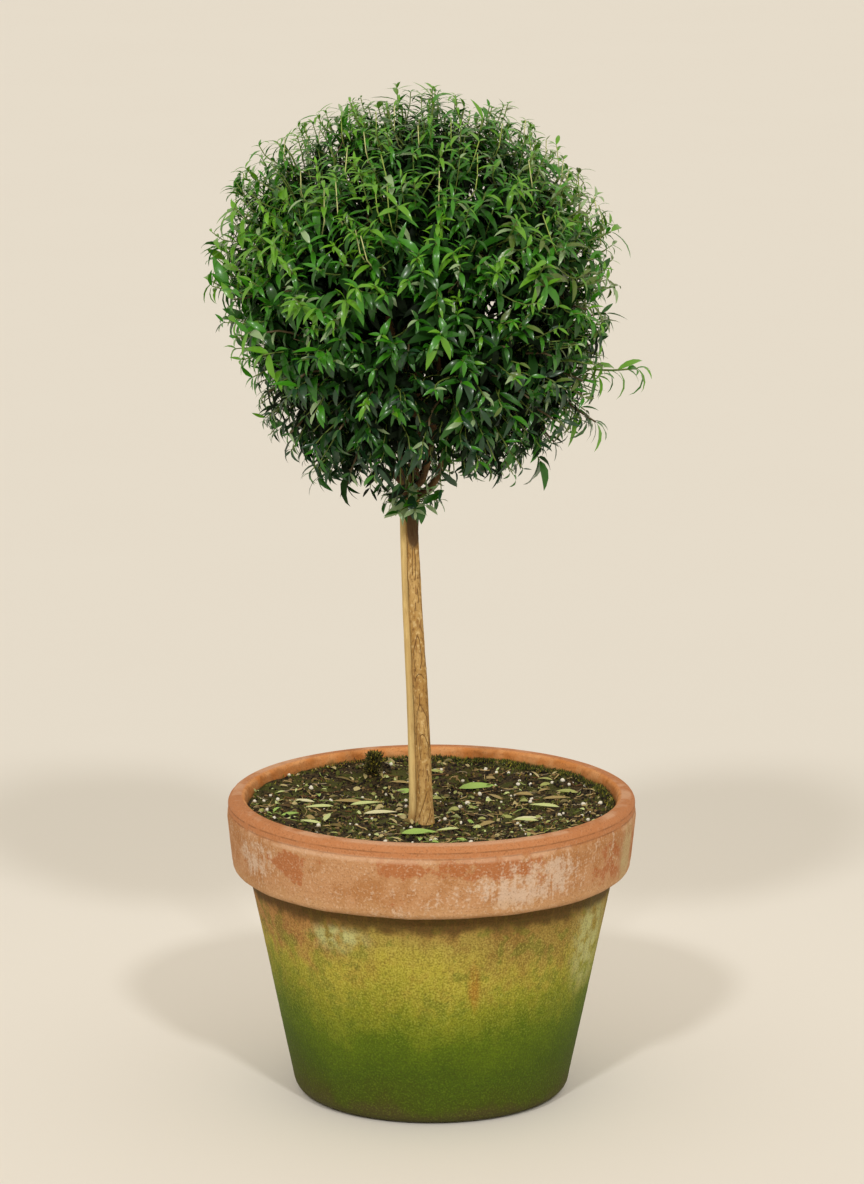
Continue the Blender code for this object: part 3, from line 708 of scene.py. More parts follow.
head = {
    "centre": Vector((-0.0075, -0.004, 0.596)), "reach": 0.15,
    # direction, extra reach, half width in radians
    "lobes": [
        ((0.15, 0.0, 0.99), 0.005, 0.5), ((0.27, -0.1, -0.96), -0.018, 0.3),
        ((-0.98, 0.0, 0.2), 0.011, 0.34), ((-0.8, 0.05, 0.6), 0.012, 0.36),
        ((-0.46, -0.1, -0.88), 0.017, 0.38), ((-0.92, 0.0, -0.38), -0.014, 0.26),
        ((0.98, 0.0, -0.06), -0.014, 0.28), ((0.48, -0.15, -0.86), 0.016, 0.4),
        ((0.96, 0.2, 0.15), 0.005, 0.3), ((-0.2, -0.95, 0.2), 0.005, 0.36),
        ((0.5, 0.8, 0.3), 0.01, 0.36), ((-0.5, 0.82, -0.2), 0.007, 0.36),
        ((0.1, 0.75, -0.65), 0.01, 0.4),
    ],
    # long shoots: direction, share of the reach and rise toward the tip
    "strays": [
        ((0.8, -0.06, -0.6), 1.24, 0.66), ((-0.97, 0.05, 0.2), 1.01, 0.06),
        ((0.45, 0.75, 0.48), 1.08, 0.06), ((-0.3, 0.92, -0.15), 1.07, 0.06),
        ((0.96, -0.08, 0.26), 1.08, 0.2), ((0.95, 0.08, -0.2), 1.07, 0.3),
        ((0.74, -0.12, -0.66), 1.1, 0.3),
    ],
}
boughs = {
    # name, count, first azimuth, site rise, start height, start rise, height of the void under the centre
    "rings": [("lower", 6, 240, -32, 0.448, 15, -0.076), ("upper", 5, 270, 22, 0.485, 62, -0.02)],
    "siteReach": 0.1, "stagger": 0.007, "inset": 0.6, "radius": 0.0027, "tipRadius": 0.0019,
    "topRadius": 0.0035, "topInset": 0.002, "share": 0.47, "bend": 0.35, "sides": 9, "points": 22,
    "sway": 0.0012, "knobs": 0.16, "twigEnds": [(0.0, 0.0019), (0.3, 0.0015), (0.6, 0.0009)],
    "shades": {"bark": (112, 84, 50), "dark": (78, 58, 36), "fibre": (58, 42, 26)},
}
growth = {
    "branchlets": 118, "branchletShake": 0.03, "branchletReach": 0.9, "branchletLift": 0.06,
    "branchletBend": 0.42, "branchletPoints": 14, "branchletSway": 0.0016, "branchletRadius": 0.00135,
    "branchletTip": 0.0007, "rootReach": 0.099, "strayEnd": 0.016, "greenRise": 0.2, "greenReach": 0.158,
    "spurs": 4, "spur": (0.016, 0.04), "spurRadius": 0.0005, "spurLimit": 0.88, "spurSway": 0.0012,
    "innerShoots": 150, "innerShare": (0.45, 0.66),
    "shoots": 1110, "shootRadius": 0.0007, "shootTip": 0.00045, "length": (0.034, 0.06),
    "tipShare": (0.79, 0.97), "topShare": 0.03, "jitter": 0.065, "rise": (0.05, 0.85), "bend": 0.42,
    "points": 8, "uprights": 0.17, "uprightRise": 0.4, "uprightBend": 0.8, "uprightBare": 0.4,
    "uprightRadius": 0.00076, "uprightReach": 0.95, "uprightLean": 0.13,
    # direction, half width in radians and share of the leaves missing
    "sparse": [
        ((0.76, -0.6, -0.06), 0.36, 0.42), ((0.06, -0.08, -0.99), 0.4, 0.95),
        ((0.97, 0.0, 0.2), 0.36, 0.5), ((0.76, 0.62, 0.02), 0.45, 0.6),
        ((-0.5, 0.8, 0.1), 0.3, 0.3), ((-0.99, 0.0, -0.05), 0.3, 0.36),
        ((-0.9, 0.0, -0.43), 0.26, 0.35), ((0.75, 0.0, -0.66), 0.3, 0.42),
        ((-0.5, -0.2, -0.84), 0.26, 0.3), ((0.3, -0.55, -0.78), 0.34, 0.28),
    ],
    "mood": 0.15, "moodMost": 0.28, "variety": (0.64, 1.34),
    # direction of the leaf pairs that grow larger, and how much
    "bigLeaves": [((-0.83, -0.2, 0.52), 1.5), ((0.52, -0.25, -0.81), 1.35)], "bigWidth": 0.09,
    "youngSprigs": [
        (0.15, -0.97, 0.14), (0.48, -0.87, 0.08), (-0.48, -0.76, 0.44), (0.05, -0.85, 0.52),
        (-0.76, -0.42, 0.5), (-0.6, -0.36, 0.71), (-0.88, -0.28, 0.32), (-0.36, -0.45, 0.82),
        (-0.92, -0.05, 0.4),
    ],
    "youngWidth": 0.08, "youngMood": 0.36, "youngScale": 0.8,
    # how leaves grow on a shoot; none passes the limit, a share of the head's reach, or the floor, a height
    "manners": {
        "shoot": {
            "vigour": 1.0, "limit": 1.03, "floor": 0.0, "spread": 1.0, "fall": 1.0, "broad": 1.0, "end": 1.0,
            "colours": None,
        },
        "upright": {}, "end": {"vigour": 1.15, "limit": 1.26, "space": 1.8},
        "big": {
            "limit": None, "bare": 0.0, "space": 2.6, "end": 0.4, "broad": 1.4,
            "colours": ["mid", "bright", "mid", "deep"],
        },
        "stray": {
            "vigour": 1.25, "mood": 0.1, "limit": None, "space": 1.5, "spread": 0.6, "end": 0.2,
            "fall": 0.45, "broad": 0.8, "colours": ["mid", "bright", "fresh"],
        },
        # mostly pale grey: the leaves' own grey-green, and painted light against the head's shadow
        "tuft": {
            "vigour": 0.92, "mood": 0.0, "limit": None, "floor": 0.4325, "bare": 0.0, "space": 2.0,
            "broad": 1.4, "colours": ["grey", "blue", "grey", "bright", "mid", "grey"],
        },
    },
    # pieces of leaves, and the masses each one fills
    "groups": {
        "leavesLowerFront": (0, 1, 2), "leavesLowerBack": (3, 4, 5),
        "leavesUpperFront": (6, 7, 10), "leavesUpperBack": (8, 9, 11),
    },
}
leaf = {
    "length": (0.015, 0.0295), "slim": 0.265, "spread": (78, 52), "droop": (0.1, 0.9), "sag": (0.5, 1.8),
    "stations": (0.0, 0.15, 0.36, 0.6, 0.83, 1.0), "widths": (0.0, 0.66, 1.0, 0.84, 0.42, 0.0), "fold": 0.26,
    "internode": 0.0058, "firstNode": 0.18, "bare": 0.08,
    "gloss": 0.34, "coat": 0.42, "shine": 0.18, "specular": 0.36, "dull": ("shade", "deep"),
    "dullGloss": 0.6, "dullSpecular": 0.15, "through": 0.18, "glow": 1.5,
    # darker colours are dealt deeper in the head as painted shade, pale grey partly as painted glints
    "colours": {
        "young": (112, 172, 40), "fresh": (98, 154, 34), "bright": (60, 130, 22), "mid": (38, 94, 16),
        "deep": (23, 60, 11), "shade": (11, 28, 6), "blue": (34, 70, 40), "olive": (92, 114, 48),
        "grey": (146, 172, 124),
    },
    "freshnessAndLight": (("fresh", 0.88), ("bright", 0.66), ("mid", 0.44), ("deep", 0.24)),
    "glints": 0.07, "olives": 0.22, "blues": 0.7,
}
leafNames = list(leaf["colours"])
twigShades = {
    "twigBrown": (84, 70, 42), "twigGreen": (98, 118, 44), "twigStraw": (196, 198, 132),
    "twigLime": (150, 168, 76),
}
brown, green, straw, lime = range(len(twigShades))


def headReach(aim):
    reach = head["reach"]
    for lobe, extra, width in head["lobes"]:
        reach += extra * bell(aim.angle(Vector(lobe)), 0, width)
    return reach


def nearest(point, places):
    return min(range(len(places)), key=lambda index: (point - places[index]).length)


def shaken(aim, amount, rng):
    return (aim + Vector([rng.gauss(0, amount) for _ in range(3)])).normalized()


def spiral(count):
    golden = math.pi * (3 - math.sqrt(5))
    return [heading(golden * i, math.asin(1 - 2 * (i + 0.5) / count)) for i in range(count)]


def curve(start, firstHeading, tip, lastHeading, bend, count):
    span = (tip - start).length
    first = start + firstHeading * span * bend
    last = tip - lastHeading * span * bend
    line = []
    for step in range(count):
        t = step / (count - 1)
        s = 1 - t
        line.append(start * s**3 + first * 3 * s**2 * t + last * 3 * s * t**2 + tip * t**3)
    return line


def planBoughs():  # each bough's name, line, radius and the middle of its mass
    b = boughs
    plans = []
    for ring, count, first, siteRise, height, rise, low in b["rings"]:
        void = head["centre"] + upward * low
        for index in range(count):
            azimuth = math.radians(first + 360 * index / count)
            level = height + b["stagger"] * (index % 2)
            start = trunkAt(level) + heading(azimuth) * trunkRadius(level) * b["inset"]
            site = head["centre"] + heading(azimuth, math.radians(siteRise)) * b["siteReach"]
            out = heading(azimuth, math.radians(rise))
            tip = void.lerp(site, b["share"])
            line = curve(start, out, tip, (site - void).normalized(), b["bend"], b["points"])
            plans.append((f"{ring}_{index + 1}", line, b["radius"], site))
    site = head["centre"] + upward * b["siteReach"]
    up = (trunkLine[-1] - trunkLine[-5]).normalized()
    start = trunkLine[-1] - up * b["topInset"]
    line = curve(start, up, void.lerp(site, b["share"]), upward, b["bend"], b["points"])
    plans.append(("top", line, b["topRadius"], site))
    return plans


def makeBoughs(plans):
    b = boughs
    bundle = Bundle()
    for _, line, radius, _ in plans:
        line = [point + upward * noise.noise(point * 90) * b["sway"] for point in line]
        radii = evenRadii(radius, b["tipRadius"], len(line))
        radii = [r * (1 + b["knobs"] * noise.noise(point * 260)) for r, point in zip(radii, line)]
        bundle.tube(line, radii, b["sides"])
    f = Finish("boughBark", {"Specular IOR Level": 0.3})
    fibre = f.grain(0.0012, 4)
    colour = f.blend(b["shades"], "bark", "dark", f.grain(0.008, 4, shift=3).between(0.35, 0.65))
    colour = f.coats(colour, b["shades"], {"fibre": fibre.between(0.5, 0.7) * 0.6})
    finish = f.wear(colour, 0.75 + fibre * 0.2, fibre, 0.0004)
    replaced = [f"bough_{name}" for name, _, _, _ in plans]
    addPiece("boughBark", bundle.mesh("boughBark"), [finish], replaced)


def growBranchlets(plans, rng):  # line, direction and mass of each, as the boughs' first twigs
    g = growth
    sites = [site for _, _, _, site in plans]
    aims = [(aim, None, g["branchletLift"]) for aim in spiral(g["branchlets"])]
    aims += [(Vector(aim).normalized(), share, lift) for aim, share, lift in head["strays"]]
    grown = []
    for aim, share, lift in aims:
        way = aim if share else shaken(aim, g["branchletShake"], rng)
        root = head["centre"] + way * g["rootReach"]
        mass = nearest(root, sites)
        bough = plans[mass][1]
        stem = bough[-1].lerp(sites[mass], rng.uniform(0.0, 0.5))
        reach = headReach(way)
        end = reach * share - g["strayEnd"] if share else reach * g["branchletReach"]
        lifted = (way + upward * lift).normalized()
        tip = root + lifted * (end - g["rootReach"])
        first = (sites[mass] - bough[-1]).normalized()
        line = curve(stem, first, tip, lifted, g["branchletBend"], g["branchletPoints"])
        line = [point + noise.noise_vector(point * 60) * g["branchletSway"] for point in line]
        grown.append((line, way, mass))
    return grown


def placeAt(line, reach):  # the line's place at a distance from the head's centre
    away = [(point - head["centre"]).length for point in line]
    for start, end, near, far in zip(line, line[1:], away, away[1:]):
        if near <= reach <= far:
            return start.lerp(end, (reach - near) / max(far - near, 1e-6)), (end - start).normalized()
    pick = min(range(len(line) - 1), key=lambda index: abs(away[index] - reach))
    return line[pick], (line[pick + 1] - line[pick]).normalized()


def growShoots(branchlets, sites, rng):  # line, direction and kind of each
    g = growth
    low, high = g["rise"]
    shoots = []
    plan = [(aim, g["tipShare"]) for aim in spiral(g["shoots"])]
    plan += [(aim, g["innerShare"]) for aim in spiral(g["innerShoots"])]
    for aim, shares in plan:
        way = shaken(aim, g["jitter"], rng)
        share = min(rng.uniform(*shares) + g["topShare"] * max(0.0, way.z), g["tipShare"][1])
        reach = headReach(way) * share
        tip = head["centre"] + way * reach
        mass = nearest(tip, sites)
        line, _, _ = max((b for b in branchlets if b[2] == mass), key=lambda b: b[1].dot(way))
        start, along = placeAt(line, reach - rng.uniform(*g["length"]))
        rise = low + (high - low) * min(max(way.z * 1.4 + 0.5, 0.0), 1.0) * rng.uniform(0.2, 1.6)
        kind, last, bend = "shoot", (way + upward * rise).normalized(), g["bend"]
        if way.z > g["uprightRise"] and share > 0.8 and rng.random() < g["uprights"]:
            kind, bend = "upright", g["uprightBend"]  # a pale stem that stands up near the surface
            tip = head["centre"] + way * headReach(way) * g["uprightReach"]
            last = Vector((rng.gauss(0, g["uprightLean"]), rng.gauss(0, g["uprightLean"]), 1)).normalized()
        shoots.append((curve(start, along, tip, last, bend, g["points"]), way, kind))
    for index, (line, way, _) in enumerate(branchlets):  # the branchlets' own ends
        shoots.append((line[-6:], way, "end" if index < g["branchlets"] else "stray"))
    return shoots


def planSpray(way, kind, rng):  # how the leaves of one shoot grow
    g = growth
    mood = min(rng.gauss(0, g["mood"]), g["moodMost"])
    scale = rng.uniform(*g["variety"])
    for aim, factor in g["bigLeaves"]:
        if way.angle(Vector(aim)) < g["bigWidth"]:
            scale = factor
    for aim in g["youngSprigs"]:
        if way.angle(Vector(aim)) < g["youngWidth"]:
            mood, scale = g["youngMood"], g["youngScale"]
    spray = {"mood": mood, "bare": leaf["bare"], "space": 1.0, **g["manners"]["shoot"], **g["manners"][kind]}
    if kind == "stray":
        return spray
    spray["vigour"] *= scale
    spray["space"] *= 0.5 + 0.5 * scale
    if scale > g["variety"][1]:
        spray.update(g["manners"]["big"])
    elif kind != "end":
        spray["bare"] += g["uprightBare"] if kind == "upright" else 0.0
        for aim, width, share in g["sparse"]:
            spray["bare"] += share * bell(way.angle(Vector(aim)), 0, width)
    return spray


def dealColour(way, depth, along, mood, rng):  # by depth in the head, place and the spray's mood
    if mood > 0.3 and along > 0.5:
        return "young"
    # painted light: leaves on the upper side are dealt lighter, those underneath darker
    rise = (0.12 if way.z > 0 else 0.38) * way.z
    # painted shade: leaves deeper in the head are dealt darker
    fresh = 0.86 + 0.12 * abs(way.x) + rise - 3.0 * depth + 0.12 * along + mood + rng.gauss(0, 0.12)
    # painted glints: a share of the lighter leaves is dealt pale grey
    if fresh > 0.5 and rng.random() < leaf["glints"]:
        return "grey"
    if fresh > 0.4 and rng.random() < leaf["olives"] * max(0.0, way.x * 1.5 - 0.4):
        return "olive"
    if fresh > 0.3 and rng.random() < -way.z * leaf["blues"]:
        return "blue"
    return next((name for name, least in leaf["freshnessAndLight"] if fresh > least), "shade")


def squared(upper, out):  # the part of one direction that is square to another
    return (upper - out * upper.dot(out)).normalized()


class Leaves:  # gathers leaves, then makes them all at once
    def __init__(self):
        self.rows = []
        self.slots = []

    def add(self, root, along, upper, length, width, sag, colour):
        self.rows.append((*root, *along, *upper, length, width, sag))
        self.slots.append(leafNames.index(colour))

    def grow(self, line, way, spray, rng):  # pairs of leaves along a shoot, each square to the last
        spans = [(end - start).length for start, end in zip(line, line[1:])]
        total = sum(spans)
        place = total * leaf["firstNode"]
        side = (line[-1] - line[0]).orthogonal().normalized()
        turn = rng.uniform(0, math.tau)
        while place < total:
            walked = 0.0
            for start, end, span in zip(line, line[1:], spans):
                if walked + span >= place:
                    break
                walked += span
            axis = (end - start).normalized()
            root = start.lerp(end, (place - walked) / span)
            along = place / total
            for half in (0, math.pi):
                if rng.random() > spray["bare"]:
                    self.sprout(root, axis, side, turn + half, along, way, spray, rng)
            turn += math.pi / 2 + rng.gauss(0, 0.12)
            space = leaf["internode"] * spray["space"] * rng.uniform(0.8, 1.2)
            place += space * (1 - 0.35 * along) * (1.12 - 0.2 * way.z)
        for half in (0, math.pi):
            self.sprout(line[-1], axis, side, turn + half, spray["end"], way, spray, rng)

    def sprout(self, root, axis, side, turn, along, way, spray, rng):
        across = Matrix.Rotation(turn, 3, axis) @ squared(side, axis)
        wide, narrow = leaf["spread"]
        spread = math.radians(wide + (narrow - wide) * along + rng.gauss(0, 9)) * spray["spread"]
        out = axis * math.cos(spread) + across * math.sin(spread)
        out.z -= rng.uniform(*leaf["droop"]) * (1.2 - along) * (1.14 - 0.38 * way.z) * spray["fall"]
        out.normalize()
        upper = axis * math.sin(spread) - across * math.cos(spread)
        upper = squared(upper * 0.3 + upward + way * 0.45 + noise.random_vector() * 0.35, out)
        least, most = leaf["length"]
        size = (least + (most - least) * rng.random() ** 1.5) * spray["vigour"]
        size = size * (1 - 0.48 * along**2.2) * (1.03 - 0.08 * way.z)
        slim = leaf["slim"] * spray["broad"] * (1.04 - 0.34 * abs(way.z)) * rng.uniform(0.82, 1.25)
        sag = rng.uniform(*leaf["sag"]) * (0.5 + 0.8 * size / most)
        end = root + out * size * 0.9 - upper * size * sag * 0.3
        offset = end - head["centre"]
        reach = headReach(offset.normalized())
        if spray["limit"] and offset.length > reach * spray["limit"]:
            return
        depth = max(0.0, 1 - (root + end - head["centre"] * 2).length / 2 / reach)
        palette = spray["colours"]
        colour = rng.choice(palette) if palette else dealColour(way, depth, along, spray["mood"], rng)
        if root.z + out.z * size * 0.9 > spray["floor"]:
            self.add(root, out, upper, size, size * slim, sag, colour)

    def mesh(self, name):
        rows = np.array(self.rows)
        root, along, upper = rows[:, 0:3], rows[:, 3:6], rows[:, 6:9]
        length, width, sag = rows[:, 9:10], rows[:, 10:11], rows[:, 11:12]
        side = np.cross(upper, along)
        points = []
        for share, wide in zip(leaf["stations"], leaf["widths"]):
            angle = sag * share
            middle = root + length / sag * (np.sin(angle) * along - (1 - np.cos(angle)) * upper)
            if wide == 0:
                points.append(middle)
                continue
            half = width / 2 * wide
            edge = (np.cos(angle) * upper + np.sin(angle) * along) * half * leaf["fold"]
            points += [middle - side * half + edge, middle, middle + side * half + edge]
        count = len(points)
        points = np.stack(points, axis=1).reshape(-1, 3)
        pattern = [(0, 2, 1), (0, 3, 2)]
        for a in range(1, count - 4, 3):
            pattern += [(a, a + 1, a + 4, a + 3), (a + 1, a + 2, a + 5, a + 4)]
        a = count - 4
        pattern += [(a, a + 1, count - 1), (a + 1, a + 2, count - 1)]
        faces = [tuple(i + first for i in face) for first in range(0, len(points), count) for face in pattern]
        mesh = newMesh(name, points.tolist(), faces)
        mesh.polygons.foreach_set("material_index", np.repeat(self.slots, len(pattern)).tolist())
        return mesh


def leafFinish(name, colour):
    dull = name in leaf["dull"]
    f = Finish("leaf" + name.title(), {
        "Base Color": colour, "Roughness": leaf["dullGloss"] if dull else leaf["gloss"],
        "Specular IOR Level": leaf["dullSpecular"] if dull else leaf["specular"],
        "Coat Weight": 0.0 if dull else leaf["coat"], "Coat Roughness": leaf["shine"],
    })
    glow = tuple(min(level * leaf["glow"], 1.0) for level in colour)
    behind = f.node("BsdfTranslucent", {}, {"Color": glow})
    both = f.node("MixShader", {}, {0: leaf["through"], 1: Value(f, f.surface.outputs[0]), 2: behind})
    f.feed(f.nodes["Material Output"].inputs["Surface"], both)
    return f.material


def makeHead():
    rng = random.Random(11)
    noise.seed_set(4)
    plans = planBoughs()
    sites = [site for _, _, _, site in plans]
    names = [f"foliage_{name}" for name, _, _, _ in plans]
    makeBoughs(plans)
    branchlets = growBranchlets(plans, rng)
    shoots = growShoots(branchlets, sites, rng)
    finishes = [leafFinish(name, linear(*colour)) for name, colour in leaf["colours"].items()]
    groups = {name: Leaves() for name in growth["groups"]}
    holders = {mass: groups[name] for name, masses in growth["groups"].items() for mass in masses}
    for line, way, kind in shoots:
        spray = planSpray(way, kind, rng)
        holders[nearest(line[-1], sites)].grow(line, way, spray, rng)
    for name, masses in growth["groups"].items():
        addPiece(name, groups[name].mesh(name), finishes, [names[mass] for mass in masses])
        print(name, len(groups[name].rows))
    twigs = Bundle()
    for line, way, _ in branchlets:
        addBranchlet(twigs, line, way, rng)
    for line, way, kind in shoots:
        addShoot(twigs, line, kind, rng)
    for _, line, _, site in plans:
        ends = [line[-1].lerp(site, share) for share, _ in boughs["twigEnds"]]
        radii = [boughs["tipRadius"], *(radius for _, radius in boughs["twigEnds"])]
        twigs.tube([line[-2], *ends], radii, 6, brown)
    addPiece("twigs", twigs.mesh("twigs"), plains(twigShades, 0.6, 0.5), names)
    makeTufts(finishes, rng)


def addBranchlet(twigs, line, way, rng):
    g = growth
    radii = evenRadii(g["branchletRadius"], g["branchletTip"], len(line))
    half = (len(line) - 1) // 2
    fresh = way.z > g["greenRise"] or (line[-1] - head["centre"]).length > g["greenReach"]
    twigs.tube(line[:half + 1], radii[:half + 1], 5, brown)
    twigs.tube(line[half:], radii[half:], 5, green if fresh else brown)
    for _ in range(g["spurs"]):  # fine leafless twigs within the head
        start = line[rng.randrange(2, len(line) - 1)]
        aim = (way + noise.random_unit_vector() * 1.2).normalized()
        size = rng.uniform(*g["spur"])
        offset = start + aim * size - head["centre"]
        if offset.length > headReach(offset.normalized()) * g["spurLimit"]:
            continue
        spur = [start]
        for step in range(1, 4):
            sway = noise.noise_vector(start * 90 + aim * step) * g["spurSway"]
            spur.append(start + aim * size * step / 3 + sway)
        radii = [g["spurRadius"]] * 3 + [g["spurRadius"] * 0.5]
        twigs.tube(spur, radii, 3, rng.choice((brown, brown, green)))


def addShoot(twigs, line, kind, rng):
    g = growth
    upright = kind == "upright"
    radii = evenRadii(g["uprightRadius"] if upright else g["shootRadius"], g["shootTip"], len(line))
    if upright:  # green to where it stands clear, then pale
        twigs.tube(line[:6], radii[:6], 4, green)
        twigs.tube(line[5:], radii[5:], 4, rng.choice((straw, straw, lime)))
    else:
        twigs.tube(line, radii, 4, green)


tufts = {
    "height": 0.438, "rise": 34, "stem": 0.011, "inset": 0.7, "stemRadii": (0.0014, 0.001),
    "twig": 0.02, "twigRadius": 0.0006, "twigSag": 0.00018, "azimuths": (270, 90),
    "twigs": [(-84, 24), (-54, 48), (-30, 10), (-6, 58), (6, 12), (30, 22), (52, 46), (86, 22)],
}


def makeTufts(finishes, rng):
    t = tufts
    spray = {**growth["manners"]["shoot"], **growth["manners"]["tuft"]}
    leaves, twigs = Leaves(), Bundle()
    for azimuth in map(math.radians, t["azimuths"]):
        start = trunkAt(t["height"]) + heading(azimuth) * trunkRadius(t["height"]) * t["inset"]
        end = start + heading(azimuth, math.radians(t["rise"])) * t["stem"]
        twigs.tube([start, end], t["stemRadii"], 6, brown)
        for index, (turn, rise) in enumerate(t["twigs"]):
            root = start.lerp(end, 0.4 + 0.07 * index)
            way = heading(azimuth + math.radians(turn), math.radians(rise))
            line = [root + way * t["twig"] * step / 5 - upward * t["twigSag"] * step**2 for step in range(6)]
            twigs.tube(line, [t["twigRadius"]] * 5 + [t["twigRadius"] / 2], 4, green)
            leaves.grow(line, way, spray, rng)
    names = ["foliage_tuft_front", "foliage_tuft_back"]
    addPiece("tuftLeaves", leaves.mesh("tuftLeaves"), finishes, names)
    addPiece("tuftTwigs", twigs.mesh("tuftTwigs"), plains(twigShades, 0.6, 0.5), names)


makeHead()
print("head made")


# Soil with its perlite, litter and moss

soil = {
    "wallHeight": 0.2145, "stemHeight": 0.208, "flat": 0.048, "ring": 0.0016, "steps": 230,
    "wallGap": 0.0003, "bottom": 0.0143, "bottomRounding": 0.012, "bottomGap": 0.0004, "centreRadius": 0.0004,
    "lumps": [(0.022, 0.0022), (0.0065, 0.0011), (0.0024, 0.0007)], "litterReach": 0.1335,
    "shades": {
        "dark": (20, 14, 7), "brown": (70, 56, 32), "dry": (100, 80, 44), "mossy": (70, 76, 24),
        "fleck": (136, 120, 80),
    },
}
crumbs = {
    "count": 3600, "size": (0.0005, 0.0022), "sink": 0.3, "shapes": 14, "detail": 1,
    "squash": ((0.5, 1.0), (0.5, 0.9)), "deal": (0, 0, 0, 1, 3, 2, 3),
    "shades": {
        "crumbDark": (30, 23, 14), "crumbBrown": (66, 50, 28), "crumbTan": (128, 104, 66),
        "crumbMossy": (80, 84, 32),
    },
}
perlite = {
    "count": 110, "size": (0.0005, 0.0018), "sink": 0.5, "shapes": 9, "detail": 2, "shade": (226, 220, 202),
}
bits = {
    "count": 420, "length": (0.003, 0.022), "bend": 0.6, "radius": (0.00018, 0.00055), "lift": 0.0006,
    "points": 5, "deal": (0, 0, 1, 2, 3),
    "shades": {
        "bitStraw": (186, 160, 108), "bitBrown": (112, 78, 46), "bitGreen": (140, 156, 84),
        "bitGrey": (150, 136, 110),
    },
}
fallen = {
    # x, y, length, azimuth in degrees and shade of the leaves that stand out
    "placed": [
        (0.02, 0.06, 0.031, 16, "fresh"), (-0.022, -0.076, 0.027, 10, "fresh"),
        (-0.078, -0.047, 0.024, 80, "young"), (-0.08, -0.05, 0.02, 150, "young"),
        (0.082, 0.02, 0.022, 8, "olive"), (0.094, -0.006, 0.024, 160, "young"),
        (0.02, -0.055, 0.018, 200, "young"), (0.052, 0.026, 0.02, 120, "olive"),
        (-0.05, 0.02, 0.024, 170, "olive"), (-0.06, 0.01, 0.024, 20, "young"),
        (-0.072, 0.004, 0.022, 188, "young"), (-0.05, -0.012, 0.026, 12, "grey"),
        (-0.086, 0.012, 0.02, 160, "grey"), (0.06, -0.03, 0.022, 14, "grey"),
        (0.078, -0.04, 0.02, 170, "young"),
    ],
    "placedRise": 0.06, "placedLift": 0.0026, "placedSag": 0.15, "freshWidth": 0.3, "otherWidth": 0.19,
    "shreds": {  # torn bits of old leaves
        "count": 640, "ring": (0.0, 0.1335), "length": (0.0025, 0.0095), "rise": (-0.2, 0.5), "lean": 0.0,
        "loose": 0.9, "lift": 0.001, "width": (0.22, 0.5), "sag": (0.3, 2.4),
        "deal": ["young", "bright", "bright", "mid", "mid", "deep", "shade", "blue", "olive"],
    },
    "leaves": {
        "count": 84, "ring": (0.014, 0.12), "length": (0.008, 0.02), "rise": (-0.05, 0.3), "lean": -0.2,
        "loose": 0.6, "lift": 0.0014, "width": (0.14, 0.28), "sag": (0.2, 1.5),
        "deal": ["young", "fresh", "bright", "mid", "deep", "olive"],
    },
    "shades": {
        "young": (192, 202, 136), "fresh": (150, 180, 92), "bright": (158, 162, 94), "mid": (180, 166, 116),
        "deep": (112, 96, 50), "shade": (84, 64, 34), "blue": (98, 106, 50), "olive": (158, 138, 88),
        "grey": (210, 206, 164),
    },
}
moss = {
    "count": 4200, "blade": (0.001, 0.0034), "width": (0.0003, 0.0007), "wallShare": 0.62,
    "wallAzimuth": 58, "wallSpread": 30, "wallGap": 0.0012, "wallDepth": 0.0036, "wallLift": 0.0012,
    "patch": 0.018, "patchLeast": 0.06, "wallDeal": (0, 2, 2, 4, 5, 1), "deal": (0, 0, 1, 1, 2, 3),
    # a small dark clump by the back wall
    "clump": (-0.0446, 0.093), "clumpBlades": 900, "clumpRadius": 0.0078, "clumpTaper": 0.55,
    "clumpHeight": 0.0165, "clumpLean": 0.002, "knob": 0.0022, "knobHeight": 0.85, "knobWidth": 0.12,
    "clumpBlade": (0.0012, 0.0032), "clumpDeal": (2, 4, 4, 5, 5, 1),
    "shades": {
        "mossGreen": (92, 104, 32), "mossYellow": (152, 142, 52), "mossDark": (50, 58, 24),
        "mossBright": (118, 132, 44), "mossBrown": (66, 58, 34), "mossOlive": (88, 84, 42),
    },
}


def boreRadius(height):
    p = pot
    share = (height - p["boreFloorHeight"]) / (p["height"] - p["boreFloorHeight"])
    return p["boreFloor"] + (p["boreLip"] - p["boreFloor"]) * share


def onSoil(x, y, lift=0.0):
    s = soil
    wall = boreRadius(s["wallHeight"])
    share = min(max((math.hypot(x, y) - s["flat"]) / (wall - s["flat"]), 0.0), 1.0)
    height = s["stemHeight"] + (s["wallHeight"] - s["stemHeight"]) * share * share * (3 - 2 * share)
    for size, amount in s["lumps"]:
        height += noise.noise(Vector((x, y, 0.3)) / size) * amount * min(1.0, 0.35 + share)
    return Vector((x, y, height + lift))


def scatter(rng, inner=0.0, outer=soil["litterReach"]):
    radius = math.sqrt(rng.uniform(inner**2, outer**2))
    out = heading(rng.uniform(0, math.tau)) * radius
    return out.x, out.y


